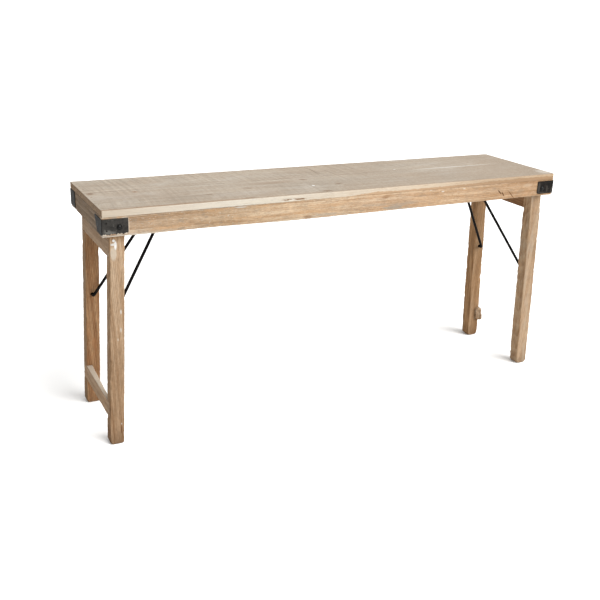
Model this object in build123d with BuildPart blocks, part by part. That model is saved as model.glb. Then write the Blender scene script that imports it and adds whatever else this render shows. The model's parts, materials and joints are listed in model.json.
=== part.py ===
from build123d import *
from math import cos, radians, sin, tan
import os

# Folding trestle table: a planked top on an apron box, two hinged leg frames that fold up
# inside the box, and one hooked iron brace per frame.
# Millimetres. Origin on the floor under the centre of the top, +X along the length,
# +Y towards the rear apron, +Z up. Leg frames stand open, splayed outwards.

os.makedirs("parts", exist_ok=True)

# ---- table top ----
TABLE_HEIGHT = 760.0
TOP_LENGTH = 1655.0
TOP_WIDTH = 395.5
BOARD_THICKNESS = 20.0
BOARD_SEAM_Y = 27.0
BOARD_SEAM_GAP = 0.8
BOARD_CORNER_RADIUS = {-1: 4.0, 1: 11.0}
BOARD_EDGE_RADIUS = 1.6
# how far the top runs past the apron box at its four corners (end, face): the ends are cut a
# little out of square
TOP_OVERHANG = {(-1, -1): 0.2, (-1, 1): 1.3, (1, -1): 4.6, (1, 1): 0.3}
SEAM_EDGE_RADIUS = 0.7

# ---- apron box ----
APRON_HEIGHT = 59.3
APRON_THICKNESS = 20.5
APRON_INSET = 0.8
APRON_END_RADIUS = {-1: 2.5, 1: 9.0}
APRON_EDGE_RADIUS = 1.5
CENTRE_RAIL_WIDTH = 44.0
CENTRE_RAIL_HEIGHT = 45.0

# ---- corner straps ----
STRAP_THICKNESS = 2.0
STRAP_BEND_RADIUS = 3.0
STRAP_NAILS_Z = (723.0, 700.5)
STRAP_FREE_CORNER_RADIUS = 9.0
STRAP_SMALL_CORNER_RADIUS = 2.0
STRAP_END_NAIL_SETBACK = 45.0
# side, face, bottom level, top level, leaf on the long apron, leaf on the end apron at its
# top edge and at its bottom edge
CORNER_STRAPS = {
    "left_front_strap": (-1, -1, 687.5, 734.2, 78.0, 78.0, 52.0),
    "left_rear_strap": (-1, 1, 688.5, 739.0, 75.0, 61.0, 61.0),
    "right_front_strap": (1, -1, 690.0, 735.5, 73.0, 61.0, 61.0),
    "right_rear_strap": (1, 1, 690.0, 735.5, 73.0, 61.0, 61.0),
}

# ---- leg frames ----
SPLAY = {-1: radians(2.34), 1: radians(2.7)}
LEG_WIDTH = 45.0
LEG_DEPTH = {-1: 40.1, 1: 43.5}
LEG_EDGE_RADIUS = 2.0
LEG_SIDE_GAP = 0.5
PIVOT_X = {-1: 777.0, 1: 775.8}
PIVOT_Z = 709.0
STOP_GAP = 0.35
OUTER_FOOT_RADIUS = 13.0
LEFT_INNER_FOOT_RADIUS = 5.0
RIGHT_INNER_FOOT_RADIUS = 12.0
RAIL_THICKNESS = 20.0
RAIL_EDGE_RADIUS = 1.2
RAIL_END_SETBACK = 12.0
UPPER_RAIL_TOP_Z = {-1: 662.0, 1: 656.0}
UPPER_RAIL_HEIGHT = {-1: 53.5, 1: 39.0}
LEFT_STRETCHER_TOP_Z = 140.0
RIGHT_STRETCHER_TOP_Z = 124.0
STRETCHER_HEIGHT = 50.0
STRETCHER_THIN_END = 11.5
# how far the snapped stretcher still stands out of the leg at its inner and outer faces, and
# the size of the chip off its inner bottom edge
FRONT_STUB = (3.0, 8.0, 5.0)
REAR_STUB = (9.0, 23.0, 10.0)

# ---- braces ----
ROD_RADIUS = 4.9
ROD_Z = 733.0
ROD_CROWN_BEND = 9.0
ROD_HOOK_BEND = 7.5
LEFT_ROD_X = 580.0
RIGHT_ROD_X = 581.0
LEFT_CROWN_HALF_WIDTH = 41.5
RIGHT_CROWN_HALF_WIDTH = 36.0
LEFT_HOOK_Z = {-1: 403.0, 1: 394.0}
RIGHT_HOOK_Z = {-1: 393.0, 1: 396.0}
HOOK_LENGTH = 15.0
HOOK_TIP_GAP = 0.5
SOCKET_RADIUS = 6.3
SOCKET_DEPTH = 16.0
STAPLE_WIDTH = 12.0
STAPLE_THICKNESS = 2.0
STAPLE_SPAN = 36.0
STAPLE_INSET = 21.0
STAPLE_NAIL_OFFSET = 12.5

# ---- fasteners ----
FIT = 0.05
BOLT_RADIUS = 4.0
BOLT_HEAD_RADIUS = 8.3
BOLT_HEAD_HEIGHT = 5.4
BOLT_END_OVERHANG = 4.0
WASHER_RADIUS = 10.0
WASHER_THICKNESS = 1.6
NUT_ACROSS_CORNERS = 15.0
NUT_THICKNESS = 6.5
NAIL_RADIUS = 1.3
NAIL_HEAD_RADIUS = 2.6
NAIL_HEAD_THICKNESS = 1.2
BOARD_NAIL_LENGTH = 45.0
STRAP_FACE_NAIL_LENGTH = 38.0
STRAP_END_NAIL_LENGTH = 22.0
FRAME_NAIL_LENGTH = 32.0
STAPLE_NAIL_LENGTH = 14.0
BOARD_NAILS_PER_EDGE = 8
BOARD_NAIL_RUN = 1440.0

# ---- levels and faces that follow from the sizes above ----
BOARD_UNDERSIDE = TABLE_HEIGHT - BOARD_THICKNESS
APRON_BOTTOM = BOARD_UNDERSIDE - APRON_HEIGHT
BOARD_END_X = TOP_LENGTH / 2
BOARD_EDGE_Y = TOP_WIDTH / 2
APRON_END_X = BOARD_END_X - APRON_INSET
APRON_FACE_Y = BOARD_EDGE_Y - APRON_INSET
APRON_INNER_Y = APRON_FACE_Y - APRON_THICKNESS
LEG_FACE_Y = APRON_INNER_Y - LEG_SIDE_GAP
LEG_INNER_Y = {side: LEG_FACE_Y - LEG_DEPTH[side] for side in (-1, 1)}
STOP_DEPTH = PIVOT_Z - APRON_BOTTOM
END_APRON_INNER_X = {}
for end in (-1, 1):
    open_leg_reach = LEG_WIDTH / 2 * cos(SPLAY[end]) + STOP_DEPTH * sin(SPLAY[end])
    END_APRON_INNER_X[end] = PIVOT_X[end] + open_leg_reach + STOP_GAP
APRON_MID_Y = (APRON_FACE_Y + APRON_INNER_Y) / 2
END_APRON_MID_X = {end: (END_APRON_INNER_X[end] + APRON_END_X) / 2 for end in (-1, 1)}
STRAP_FACE_Y = APRON_FACE_Y + STRAP_THICKNESS
STRAP_END_X = APRON_END_X + STRAP_THICKNESS
RAIL_HALF_LENGTH = LEG_FACE_Y - RAIL_END_SETBACK
STRAP_END_NAIL_Y = APRON_FACE_Y - STRAP_END_NAIL_SETBACK
END_BOARD_NAILS_Y = (-120.0, -30.0, 75.0, 125.0)
CENTRE_BOARD_NAILS_Y = (-120.0, -30.0, 75.0, 125.0)
LAP_NAIL_INSETS = (9.0, 19.0)
LAP_NAIL_SPREAD = 9.0

STAPLE_PLACES = [
    (-LEFT_ROD_X, STAPLE_INSET - LEFT_CROWN_HALF_WIDTH),
    (-LEFT_ROD_X, LEFT_CROWN_HALF_WIDTH - STAPLE_INSET),
    (RIGHT_ROD_X, STAPLE_INSET - RIGHT_CROWN_HALF_WIDTH),
    (RIGHT_ROD_X, RIGHT_CROWN_HALF_WIDTH - STAPLE_INSET),
]
STAPLE_NAIL_PLANE = Plane(
    origin=(0, 0, BOARD_UNDERSIDE - STAPLE_THICKNESS - NAIL_HEAD_THICKNESS),
    x_dir=(-1, 0, 0),
    z_dir=(0, 0, -1),
)


def frame_view(side, y):
    """Plane of one splayed leg frame: local Y runs up the leg, normal points to the front."""
    return Plane(
        origin=(side * PIVOT_X[side], y, PIVOT_Z),
        x_dir=(cos(SPLAY[side]), 0, side * sin(SPLAY[side])),
        z_dir=(0, -1, 0),
    )


def outer_view(side):
    """Plane on the outer faces of one leg frame, local Y up the leg, normal outwards."""
    half = LEG_WIDTH / 2
    across = cos(SPLAY[side])
    rise = sin(SPLAY[side])
    return Plane(
        origin=(side * (PIVOT_X[side] + half * across), 0, PIVOT_Z + half * rise),
        x_dir=(0, side, 0),
        z_dir=(side * across, 0, rise),
    )


def drop_along_leg(side, z, u):
    """Local height in a leg frame of the point at world height z, u out from the centre line."""
    return (z - PIVOT_Z - u * sin(SPLAY[side])) / cos(SPLAY[side])


def board_nail_points():
    """Nails through the boards: along both aprons, into the end aprons and the centre rail."""
    pitch = BOARD_NAIL_RUN / (BOARD_NAILS_PER_EDGE - 1)
    points = []
    for face in (-1, 1):
        for index in range(BOARD_NAILS_PER_EDGE):
            points.append((-BOARD_NAIL_RUN / 2 + index * pitch, face * APRON_MID_Y))
    for side in (-1, 1):
        for y in END_BOARD_NAILS_Y:
            points.append((side * END_APRON_MID_X[side], y))
    for y in CENTRE_BOARD_NAILS_Y:
        points.append((0, y))
    return points


def sink_holes(plane, points, radius, depth):
    """Round holes cut into the part being built, down from a plane."""
    with BuildSketch(plane) as circles:
        with Locations(*points):
            Circle(radius)
    extrude(circles.sketch, amount=-depth, mode=Mode.SUBTRACT)


def drive_nails(plane, points, length):
    """Flat-headed nails added to the part being built, heads flush with a plane."""
    for radius, depth in ((NAIL_RADIUS, length), (NAIL_HEAD_RADIUS, NAIL_HEAD_THICKNESS)):
        with BuildSketch(plane) as circles:
            with Locations(*points):
                Circle(radius)
        extrude(circles.sketch, amount=-depth)


def sink_nail_holes(plane, points, length):
    """Clearance for nails that drive_nails puts at the same points."""
    sink_holes(plane, points, NAIL_RADIUS + FIT, length + FIT)
    sink_holes(plane, points, NAIL_HEAD_RADIUS + FIT, NAIL_HEAD_THICKNESS)


def staple_nail_points():
    """Two nails per staple, in the coordinates of the staple nail plane."""
    points = []
    for x, y in STAPLE_PLACES:
        for offset in (-STAPLE_NAIL_OFFSET, STAPLE_NAIL_OFFSET):
            points.append((-x + offset, y))
    return points


def sink_board_nail_holes(target):
    """Nail holes down through whatever part of the top they meet."""
    points = [(x, y) for x, y in board_nail_points() if inside_box(target, x, y)]
    sink_nail_holes(Plane.XY.offset(TABLE_HEIGHT), points, BOARD_NAIL_LENGTH)


def inside_box(target, x, y):
    box = target.part.bounding_box()
    return box.min.X < x < box.max.X and box.min.Y < y < box.max.Y


def top_end_x(side, y):
    """End of the top at a place across it."""
    across = (y + BOARD_EDGE_Y) / TOP_WIDTH
    overhang = TOP_OVERHANG[side, -1] * (1 - across) + TOP_OVERHANG[side, 1] * across
    return side * (APRON_END_X + overhang)


def top_board(face, name):
    """One plank of the top; face is -1 for the front plank and +1 for the rear one."""
    seam_y = BOARD_SEAM_Y + face * BOARD_SEAM_GAP / 2
    edge_y = face * BOARD_EDGE_Y
    with BuildPart() as board:
        with BuildSketch(Plane.XY.offset(BOARD_UNDERSIDE)):
            with BuildLine():
                Polyline(
                    (top_end_x(-1, seam_y), seam_y),
                    (top_end_x(1, seam_y), seam_y),
                    (top_end_x(1, edge_y), edge_y),
                    (top_end_x(-1, edge_y), edge_y),
                    close=True,
                )
            make_face()
        extrude(amount=BOARD_THICKNESS)
        uprights = board.edges().filter_by(Axis.Z).sort_by(Axis.Y)
        outer_corners = uprights[:2] if face < 0 else uprights[-2:]
        left_corner, right_corner = outer_corners.sort_by(Axis.X)
        fillet(left_corner, BOARD_CORNER_RADIUS[-1])
        fillet(right_corner, BOARD_CORNER_RADIUS[1])
        upper_face = board.faces().sort_by(Axis.Z)[-1]
        upper_edges = upper_face.edges().sort_by(Axis.Y)
        seam_edge = upper_edges[-1] if face < 0 else upper_edges[0]
        outer_edges = upper_edges[:-1] if face < 0 else upper_edges[1:]
        fillet(outer_edges, BOARD_EDGE_RADIUS)
        seam_edges = board.edges().filter_by(Axis.X).filter_by_position(
            Axis.Z, TABLE_HEIGHT - 0.01, TABLE_HEIGHT + 0.01
        )
        seam_edge = seam_edges.sort_by(Axis.Y)[-1 if face < 0 else 0]
        fillet(seam_edge, SEAM_EDGE_RADIUS)
        sink_board_nail_holes(board)
        if face < 0:
            sink_holes(STAPLE_NAIL_PLANE, staple_nail_points(), NAIL_RADIUS + FIT, STAPLE_NAIL_LENGTH + FIT)
    board.part.label = name
    export_step(board.part, f"parts/{name}.step")
    return board


def long_apron(face, name):
    """Full-length apron: lower end corners rounded, drilled for pivot bolts and nails."""
    with BuildPart() as apron:
        with BuildSketch(Plane.XZ.offset(-face * APRON_MID_Y)) as outline:
            with Locations((0, APRON_BOTTOM + APRON_HEIGHT / 2)):
                Rectangle(2 * APRON_END_X, APRON_HEIGHT)
            for side in (-1, 1):
                lower_corner = outline.vertices().sort_by_distance((side * APRON_END_X, 0, APRON_BOTTOM))[0]
                fillet(lower_corner, APRON_END_RADIUS[side])
        extrude(amount=APRON_THICKNESS / 2, both=True)
        lower_edges = apron.edges().filter_by(Axis.X).group_by(Axis.Z)[0]
        fillet(lower_edges, APRON_EDGE_RADIUS)
        with BuildSketch(Plane.XZ.offset(-face * APRON_MID_Y)):
            with Locations((-PIVOT_X[-1], PIVOT_Z), (PIVOT_X[1], PIVOT_Z)):
                Circle(BOLT_RADIUS + FIT)
        extrude(amount=APRON_THICKNESS, both=True, mode=Mode.SUBTRACT)
        sink_strap_face_nail_holes(face)
        sink_board_nail_holes(apron)
    apron.part.label = name
    export_step(apron.part, f"parts/{name}.step")
    return apron


def strap_face_nail_plane(face):
    """Plane on the outside of the straps of one long apron, normal pointing away from it."""
    return Plane(origin=(0, face * STRAP_FACE_Y, 0), x_dir=(-face, 0, 0), z_dir=(0, face, 0))


def strap_end_nail_plane(side):
    """Plane on the outside of the straps at one end, normal pointing away from the table."""
    return Plane(origin=(side * STRAP_END_X, 0, 0), x_dir=(0, side, 0), z_dir=(side, 0, 0))


def strap_face_nail_points(face):
    """Nails through the strap leaves on one long apron, in the coordinates of their plane."""
    points = []
    for side in (-1, 1):
        for z in STRAP_NAILS_Z:
            points.append((-face * side * END_APRON_MID_X[side], z))
    return points


def sink_strap_face_nail_holes(face):
    """Clearance for the nails through the strap leaves on one long apron."""
    points = strap_face_nail_points(face)
    sink_nail_holes(strap_face_nail_plane(face), points, STRAP_FACE_NAIL_LENGTH)


def strap_end_nail_points():
    """Nails through the strap leaves at one end, in the coordinates of their plane."""
    points = []
    for y in (-STRAP_END_NAIL_Y, STRAP_END_NAIL_Y):
        for z in STRAP_NAILS_Z:
            points.append((y, z))
    return points


def end_apron(side, name):
    """Short apron between the long ones; its inner face is the stop for the open leg frame."""
    with BuildPart() as apron:
        with BuildSketch(Plane.XY.offset(APRON_BOTTOM)):
            with Locations((side * END_APRON_MID_X[side], 0)):
                Rectangle(APRON_END_X - END_APRON_INNER_X[side], 2 * APRON_INNER_Y)
        extrude(amount=APRON_HEIGHT)
        lower_edges = apron.edges().filter_by(Axis.Y).group_by(Axis.Z)[0].sort_by(Axis.X)
        outer_lower_edge = lower_edges[-1 if side > 0 else 0]
        fillet(outer_lower_edge, APRON_EDGE_RADIUS)
        for face in (-1, 1):
            sink_strap_face_nail_holes(face)
        sink_nail_holes(strap_end_nail_plane(side), strap_end_nail_points(), STRAP_END_NAIL_LENGTH)
        sink_board_nail_holes(apron)
    apron.part.label = name
    export_step(apron.part, f"parts/{name}.step")
    return apron


def corner_strap(side, face, bottom_z, top_z, face_leaf, end_leaf, end_leaf_foot, name):
    """Bent iron strap around one corner of the apron box, drilled for the bolt and the nails."""
    face_leaf_end_x = side * (STRAP_END_X - face_leaf)
    end_leaf_end_y = face * (STRAP_FACE_Y - end_leaf)
    end_leaf_foot_y = face * (STRAP_FACE_Y - end_leaf_foot)
    with BuildPart() as strap:
        with BuildSketch(Plane.XY.offset(bottom_z)) as bend:
            with BuildLine():
                Polyline(
                    (face_leaf_end_x, face * APRON_FACE_Y),
                    (side * APRON_END_X, face * APRON_FACE_Y),
                    (side * APRON_END_X, end_leaf_end_y),
                    (side * STRAP_END_X, end_leaf_end_y),
                    (side * STRAP_END_X, face * STRAP_FACE_Y),
                    (face_leaf_end_x, face * STRAP_FACE_Y),
                    close=True,
                )
            make_face()
            outer_corner = bend.vertices().sort_by_distance((side * STRAP_END_X, face * STRAP_FACE_Y))[0]
            fillet(outer_corner, STRAP_BEND_RADIUS)
        extrude(amount=top_z - bottom_z)
        if end_leaf_foot != end_leaf:
            with BuildSketch(strap_end_nail_plane(side)) as offcut:
                with BuildLine():
                    Polyline(
                        (side * (end_leaf_end_y - face * 1.0), top_z),
                        (side * end_leaf_end_y, top_z),
                        (side * end_leaf_foot_y, bottom_z),
                        (side * end_leaf_foot_y, bottom_z - 1.0),
                        (side * (end_leaf_end_y - face * 1.0), bottom_z - 1.0),
                        close=True,
                    )
                make_face()
            extrude(offcut.sketch, amount=-2 * STRAP_THICKNESS, mode=Mode.SUBTRACT)
        face_leaf_corners = strap.edges().filter_by(Axis.Y).sort_by_distance(
            (face_leaf_end_x, face * STRAP_FACE_Y, bottom_z)
        )
        fillet(face_leaf_corners[0], STRAP_FREE_CORNER_RADIUS)
        upper_corners = strap.edges().filter_by(Axis.Y).sort_by_distance(
            (face_leaf_end_x, face * STRAP_FACE_Y, top_z)
        )
        fillet(upper_corners[0], STRAP_SMALL_CORNER_RADIUS)
        end_leaf_corners = strap.edges().filter_by(Axis.X).sort_by(Axis.Y)
        end_corner_pair = end_leaf_corners[-2:] if face < 0 else end_leaf_corners[:2]
        fillet(end_corner_pair, STRAP_SMALL_CORNER_RADIUS)
        bolt_point = (-face * side * PIVOT_X[side], PIVOT_Z)
        sink_holes(strap_face_nail_plane(face), [bolt_point], BOLT_RADIUS + FIT, 2 * STRAP_THICKNESS)
        sink_strap_face_nail_holes(face)
        sink_nail_holes(strap_end_nail_plane(side), strap_end_nail_points(), STRAP_END_NAIL_LENGTH)
    strap.part.label = name
    export_step(strap.part, f"parts/{name}.step")
    return strap


def leg(side, face, inner_foot_radius, stretcher_top_z, hook_z, name):
    """One leg: round head on the pivot, foot cut level, lapped for the rails, socket for the hook."""
    half = LEG_WIDTH / 2
    depth = LEG_DEPTH[side]
    inner_drop = drop_along_leg(side, 0.0, -half)
    outer_drop = drop_along_leg(side, 0.0, half)
    with BuildPart() as post:
        with BuildSketch(frame_view(side, face * (LEG_INNER_Y[side] + depth / 2))) as outline:
            with BuildLine():
                Polyline(
                    (-side * half, 0),
                    (-side * half, inner_drop),
                    (side * half, outer_drop),
                    (side * half, 0),
                    close=True,
                )
            make_face()
            outer_foot = outline.vertices().sort_by_distance((side * half, outer_drop))[0]
            fillet(outer_foot, OUTER_FOOT_RADIUS)
            inner_foot = outline.vertices().sort_by_distance((-side * half, inner_drop))[0]
            fillet(inner_foot, inner_foot_radius)
            Circle(half)
        extrude(amount=depth / 2, both=True)
        long_edges = post.edges().filter_by(lambda edge: edge.length > PIVOT_Z - 2 * OUTER_FOOT_RADIUS)
        fillet(long_edges, LEG_EDGE_RADIUS)
        for top_z, height in (
            (UPPER_RAIL_TOP_Z[side], UPPER_RAIL_HEIGHT[side]),
            (stretcher_top_z, STRETCHER_HEIGHT),
        ):
            with BuildSketch(outer_view(side)):
                with Locations((0, drop_along_leg(side, top_z, half) - height / 2)):
                    Rectangle(2 * RAIL_HALF_LENGTH, height)
            extrude(amount=-RAIL_THICKNESS, mode=Mode.SUBTRACT)
        with BuildSketch(frame_view(side, face * LEG_FACE_Y)):
            Circle(BOLT_RADIUS + FIT)
        extrude(amount=face * depth, mode=Mode.SUBTRACT)
        with BuildSketch(frame_view(side, face * LEG_INNER_Y[side])):
            with Locations((0, drop_along_leg(side, hook_z[face], 0.0))):
                Circle(SOCKET_RADIUS)
        extrude(amount=-face * SOCKET_DEPTH, mode=Mode.SUBTRACT)
        sink_nail_holes(outer_view(side), lap_nail_points(side, stretcher_top_z), FRAME_NAIL_LENGTH)
    post.part.label = name
    export_step(post.part, f"parts/{name}.step")
    return post


def lap_nail_points(side, stretcher_top_z):
    """Two nails on a diagonal in each lap, on the outer faces of one leg frame."""
    points = []
    for top_z, height in (
        (UPPER_RAIL_TOP_Z[side], UPPER_RAIL_HEIGHT[side]),
        (stretcher_top_z, STRETCHER_HEIGHT),
    ):
        middle = drop_along_leg(side, top_z, LEG_WIDTH / 2) - height / 2
        for face in (-1, 1):
            for inset, rise in zip(LAP_NAIL_INSETS, (LAP_NAIL_SPREAD, -LAP_NAIL_SPREAD)):
                points.append((face * (LEG_INNER_Y[side] + inset), middle + rise))
    return points


def cross_rail(side, top_z, height, thin_end, stretcher_top_z, name):
    """Rail lapped flush into the outer faces of both legs, planed thinner towards the front."""
    outer = outer_view(side)
    with BuildPart() as rail:
        with BuildSketch(outer):
            with Locations((0, drop_along_leg(side, top_z, LEG_WIDTH / 2) - height / 2)):
                Rectangle(2 * RAIL_HALF_LENGTH, height)
        extrude(amount=-RAIL_THICKNESS)
        if thin_end < RAIL_THICKNESS:
            with BuildSketch(Plane(origin=outer.origin, x_dir=outer.x_dir, z_dir=outer.y_dir)) as shaving:
                with BuildLine():
                    Polyline(
                        (side * LEG_INNER_Y[side], RAIL_THICKNESS),
                        (-side * LEG_INNER_Y[side], thin_end),
                        (-side * LEG_INNER_Y[side], RAIL_THICKNESS + 1.0),
                        (side * LEG_INNER_Y[side], RAIL_THICKNESS + 1.0),
                        close=True,
                    )
                make_face()
            extrude(shaving.sketch, amount=-PIVOT_Z, mode=Mode.SUBTRACT)
        long_edges = rail.edges().filter_by(Axis.Y)
        fillet(long_edges, RAIL_EDGE_RADIUS)
        sink_nail_holes(outer_view(side), lap_nail_points(side, stretcher_top_z), FRAME_NAIL_LENGTH)
    rail.part.label = name
    export_step(rail.part, f"parts/{name}.step")
    return rail


def snapped_stub(side, face, inner_reach, outer_reach, chip, name):
    """What is left in one leg of a snapped stretcher: a lapped end with a ragged, slanting break."""
    top = drop_along_leg(side, RIGHT_STRETCHER_TOP_Z, LEG_WIDTH / 2)
    bottom = top - STRETCHER_HEIGHT
    housed_end = face * RAIL_HALF_LENGTH
    leg_inner_y = LEG_INNER_Y[side]
    rail_inner_u = LEG_WIDTH / 2 - RAIL_THICKNESS
    outer_break = face * (leg_inner_y - outer_reach)
    with BuildPart() as stub:
        with BuildSketch(outer_view(side)):
            with BuildLine():
                Polyline(
                    (housed_end, top),
                    (outer_break + face * 0.55 * outer_reach, top),
                    (outer_break + face * 0.2 * outer_reach, top - 9.0),
                    (outer_break + face * 0.28 * outer_reach, top - 17.0),
                    (outer_break + face * 0.05 * outer_reach, top - 28.0),
                    (outer_break, bottom + 6.0),
                    (outer_break + face * 0.25 * outer_reach, bottom),
                    (housed_end, bottom),
                    close=True,
                )
            make_face()
        extrude(amount=-RAIL_THICKNESS)
        with BuildSketch(frame_view(side, face * leg_inner_y)):
            with BuildLine():
                Polyline(
                    (side * (rail_inner_u - 1.0), bottom - 1.0),
                    (side * (rail_inner_u + chip), bottom - 1.0),
                    (side * (rail_inner_u + 0.4 * chip), bottom + 0.6 * chip),
                    (side * (rail_inner_u - 1.0), bottom + 1.1 * chip),
                    close=True,
                )
            make_face()
        extrude(amount=face * (outer_reach + 1.0), mode=Mode.SUBTRACT)
        splay_out = drop_along_leg(side, RIGHT_STRETCHER_TOP_Z, 0) * sin(SPLAY[side])
        inner_x = side * (PIVOT_X[side] + rail_inner_u - splay_out)
        with BuildSketch():
            with BuildLine():
                Polyline(
                    (inner_x - side * 8.0, face * (leg_inner_y - inner_reach + 5.0)),
                    (inner_x + side * 6.0, face * (leg_inner_y - inner_reach - 2.0)),
                    (inner_x + side * 13.0, face * (leg_inner_y - 0.45 * (inner_reach + outer_reach))),
                    (inner_x + side * 22.0, face * (leg_inner_y - outer_reach - 4.0)),
                    (inner_x - side * 8.0, face * (leg_inner_y - outer_reach - 4.0)),
                    close=True,
                )
            make_face()
        extrude(amount=RIGHT_STRETCHER_TOP_Z + 10.0, mode=Mode.SUBTRACT)
        sink_nail_holes(outer_view(side), lap_nail_points(side, RIGHT_STRETCHER_TOP_Z), FRAME_NAIL_LENGTH)
    stub.part.label = name
    export_step(stub.part, f"parts/{name}.step")
    return stub


def brace(side, rod_x, crown_half_width, hook_z, name):
    """One bent rod: crown in the staples, two arms down to the legs, ends turned out as hooks."""
    tip_y = LEG_INNER_Y[side] - HOOK_TIP_GAP
    bend_y = tip_y - HOOK_LENGTH
    leg_x = {face: PIVOT_X[side] + (PIVOT_Z - hook_z[face]) * tan(SPLAY[side]) for face in (-1, 1)}
    with BuildPart() as rod:
        with BuildLine() as centre_line:
            FilletPolyline(
                (side * leg_x[-1], -tip_y, hook_z[-1]),
                (side * leg_x[-1], -bend_y, hook_z[-1]),
                (side * rod_x, -crown_half_width, ROD_Z),
                (side * rod_x, crown_half_width, ROD_Z),
                (side * leg_x[1], bend_y, hook_z[1]),
                (side * leg_x[1], tip_y, hook_z[1]),
                radius=(ROD_HOOK_BEND, ROD_CROWN_BEND, ROD_CROWN_BEND, ROD_HOOK_BEND),
            )
        with BuildSketch(Plane(origin=centre_line.line @ 0, z_dir=centre_line.line % 0)):
            Circle(ROD_RADIUS)
        sweep()
    rod.part.label = name
    export_step(rod.part, f"parts/{name}.step")
    return rod


# ---- table top and apron box ----
top_board_front = top_board(-1, "top_board_front")
top_board_rear = top_board(1, "top_board_rear")
front_apron = long_apron(-1, "front_apron")
rear_apron = long_apron(1, "rear_apron")
left_end_apron = end_apron(-1, "left_end_apron")
right_end_apron = end_apron(1, "right_end_apron")

with BuildPart() as centre_rail:
    with BuildSketch(Plane.XY.offset(BOARD_UNDERSIDE)):
        Rectangle(CENTRE_RAIL_WIDTH, 2 * APRON_INNER_Y)
    extrude(amount=-CENTRE_RAIL_HEIGHT)
    fillet(centre_rail.edges().filter_by(Axis.Y).group_by(Axis.Z)[0], APRON_EDGE_RADIUS)
    sink_board_nail_holes(centre_rail)
centre_rail.part.label = "centre_rail"
export_step(centre_rail.part, "parts/centre_rail.step")

with BuildPart() as board_nails:
    drive_nails(Plane.XY.offset(TABLE_HEIGHT), board_nail_points(), BOARD_NAIL_LENGTH)
board_nails.part.label = "board_nails"
export_step(board_nails.part, "parts/board_nails.step")

# ---- corner straps and their nails ----
for strap_name, strap_sizes in CORNER_STRAPS.items():
    corner_strap(*strap_sizes, strap_name)

with BuildPart() as strap_nails:
    for strap_face in (-1, 1):
        face_points = strap_face_nail_points(strap_face)
        drive_nails(strap_face_nail_plane(strap_face), face_points, STRAP_FACE_NAIL_LENGTH)
    for strap_side in (-1, 1):
        drive_nails(strap_end_nail_plane(strap_side), strap_end_nail_points(), STRAP_END_NAIL_LENGTH)
strap_nails.part.label = "strap_nails"
export_step(strap_nails.part, "parts/strap_nails.step")

# ---- pivot bolts, washers and nuts ----
with BuildPart() as pivot_bolts:
    for end in (-1, 1):
        bolt_x = end * PIVOT_X[end]
        bolt_end_y = LEG_INNER_Y[end] - LEG_SIDE_GAP - WASHER_THICKNESS - NUT_THICKNESS - BOLT_END_OVERHANG
        with BuildSketch(Plane.XY.offset(PIVOT_Z)) as bolt_profile:
            with BuildLine():
                head_crown = (bolt_x, STRAP_FACE_Y + BOLT_HEAD_HEIGHT)
                head_rim = (bolt_x + BOLT_HEAD_RADIUS, STRAP_FACE_Y)
                dome_centre_drop = (BOLT_HEAD_RADIUS**2 - BOLT_HEAD_HEIGHT**2) / (2 * BOLT_HEAD_HEIGHT)
                RadiusArc(head_crown, head_rim, dome_centre_drop + BOLT_HEAD_HEIGHT)
                Polyline(
                    head_rim,
                    (bolt_x + BOLT_RADIUS, STRAP_FACE_Y),
                    (bolt_x + BOLT_RADIUS, bolt_end_y),
                    (bolt_x, bolt_end_y),
                    head_crown,
                )
            make_face()
        revolve(bolt_profile.sketch, axis=Axis((bolt_x, 0, PIVOT_Z), (0, 1, 0)))
    mirror(about=Plane.XZ)
pivot_bolts.part.label = "pivot_bolts"
export_step(pivot_bolts.part, "parts/pivot_bolts.step")

with BuildPart() as pivot_washers:
    for end in (-1, 1):
        with BuildSketch(Plane.XZ.offset(LEG_SIDE_GAP - LEG_INNER_Y[end])):
            with Locations((end * PIVOT_X[end], PIVOT_Z)):
                Circle(WASHER_RADIUS)
                Circle(BOLT_RADIUS + FIT, mode=Mode.SUBTRACT)
        extrude(amount=WASHER_THICKNESS)
    mirror(about=Plane.XZ)
pivot_washers.part.label = "pivot_washers"
export_step(pivot_washers.part, "parts/pivot_washers.step")

with BuildPart() as pivot_nuts:
    for end in (-1, 1):
        with BuildSketch(Plane.XZ.offset(LEG_SIDE_GAP + WASHER_THICKNESS - LEG_INNER_Y[end])):
            with Locations((end * PIVOT_X[end], PIVOT_Z)):
                RegularPolygon(NUT_ACROSS_CORNERS / 2, 6)
                Circle(BOLT_RADIUS + FIT, mode=Mode.SUBTRACT)
        extrude(amount=NUT_THICKNESS)
    mirror(about=Plane.XZ)
pivot_nuts.part.label = "pivot_nuts"
export_step(pivot_nuts.part, "parts/pivot_nuts.step")

# ---- left leg frame ----
left_front_leg = leg(-1, -1, LEFT_INNER_FOOT_RADIUS, LEFT_STRETCHER_TOP_Z, LEFT_HOOK_Z, "left_front_leg")
left_rear_leg = leg(-1, 1, LEFT_INNER_FOOT_RADIUS, LEFT_STRETCHER_TOP_Z, LEFT_HOOK_Z, "left_rear_leg")
left_upper_rail = cross_rail(
    -1, UPPER_RAIL_TOP_Z[-1], UPPER_RAIL_HEIGHT[-1], RAIL_THICKNESS, LEFT_STRETCHER_TOP_Z, "left_upper_rail"
)
left_stretcher = cross_rail(
    -1, LEFT_STRETCHER_TOP_Z, STRETCHER_HEIGHT, STRETCHER_THIN_END, LEFT_STRETCHER_TOP_Z, "left_stretcher"
)

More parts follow.
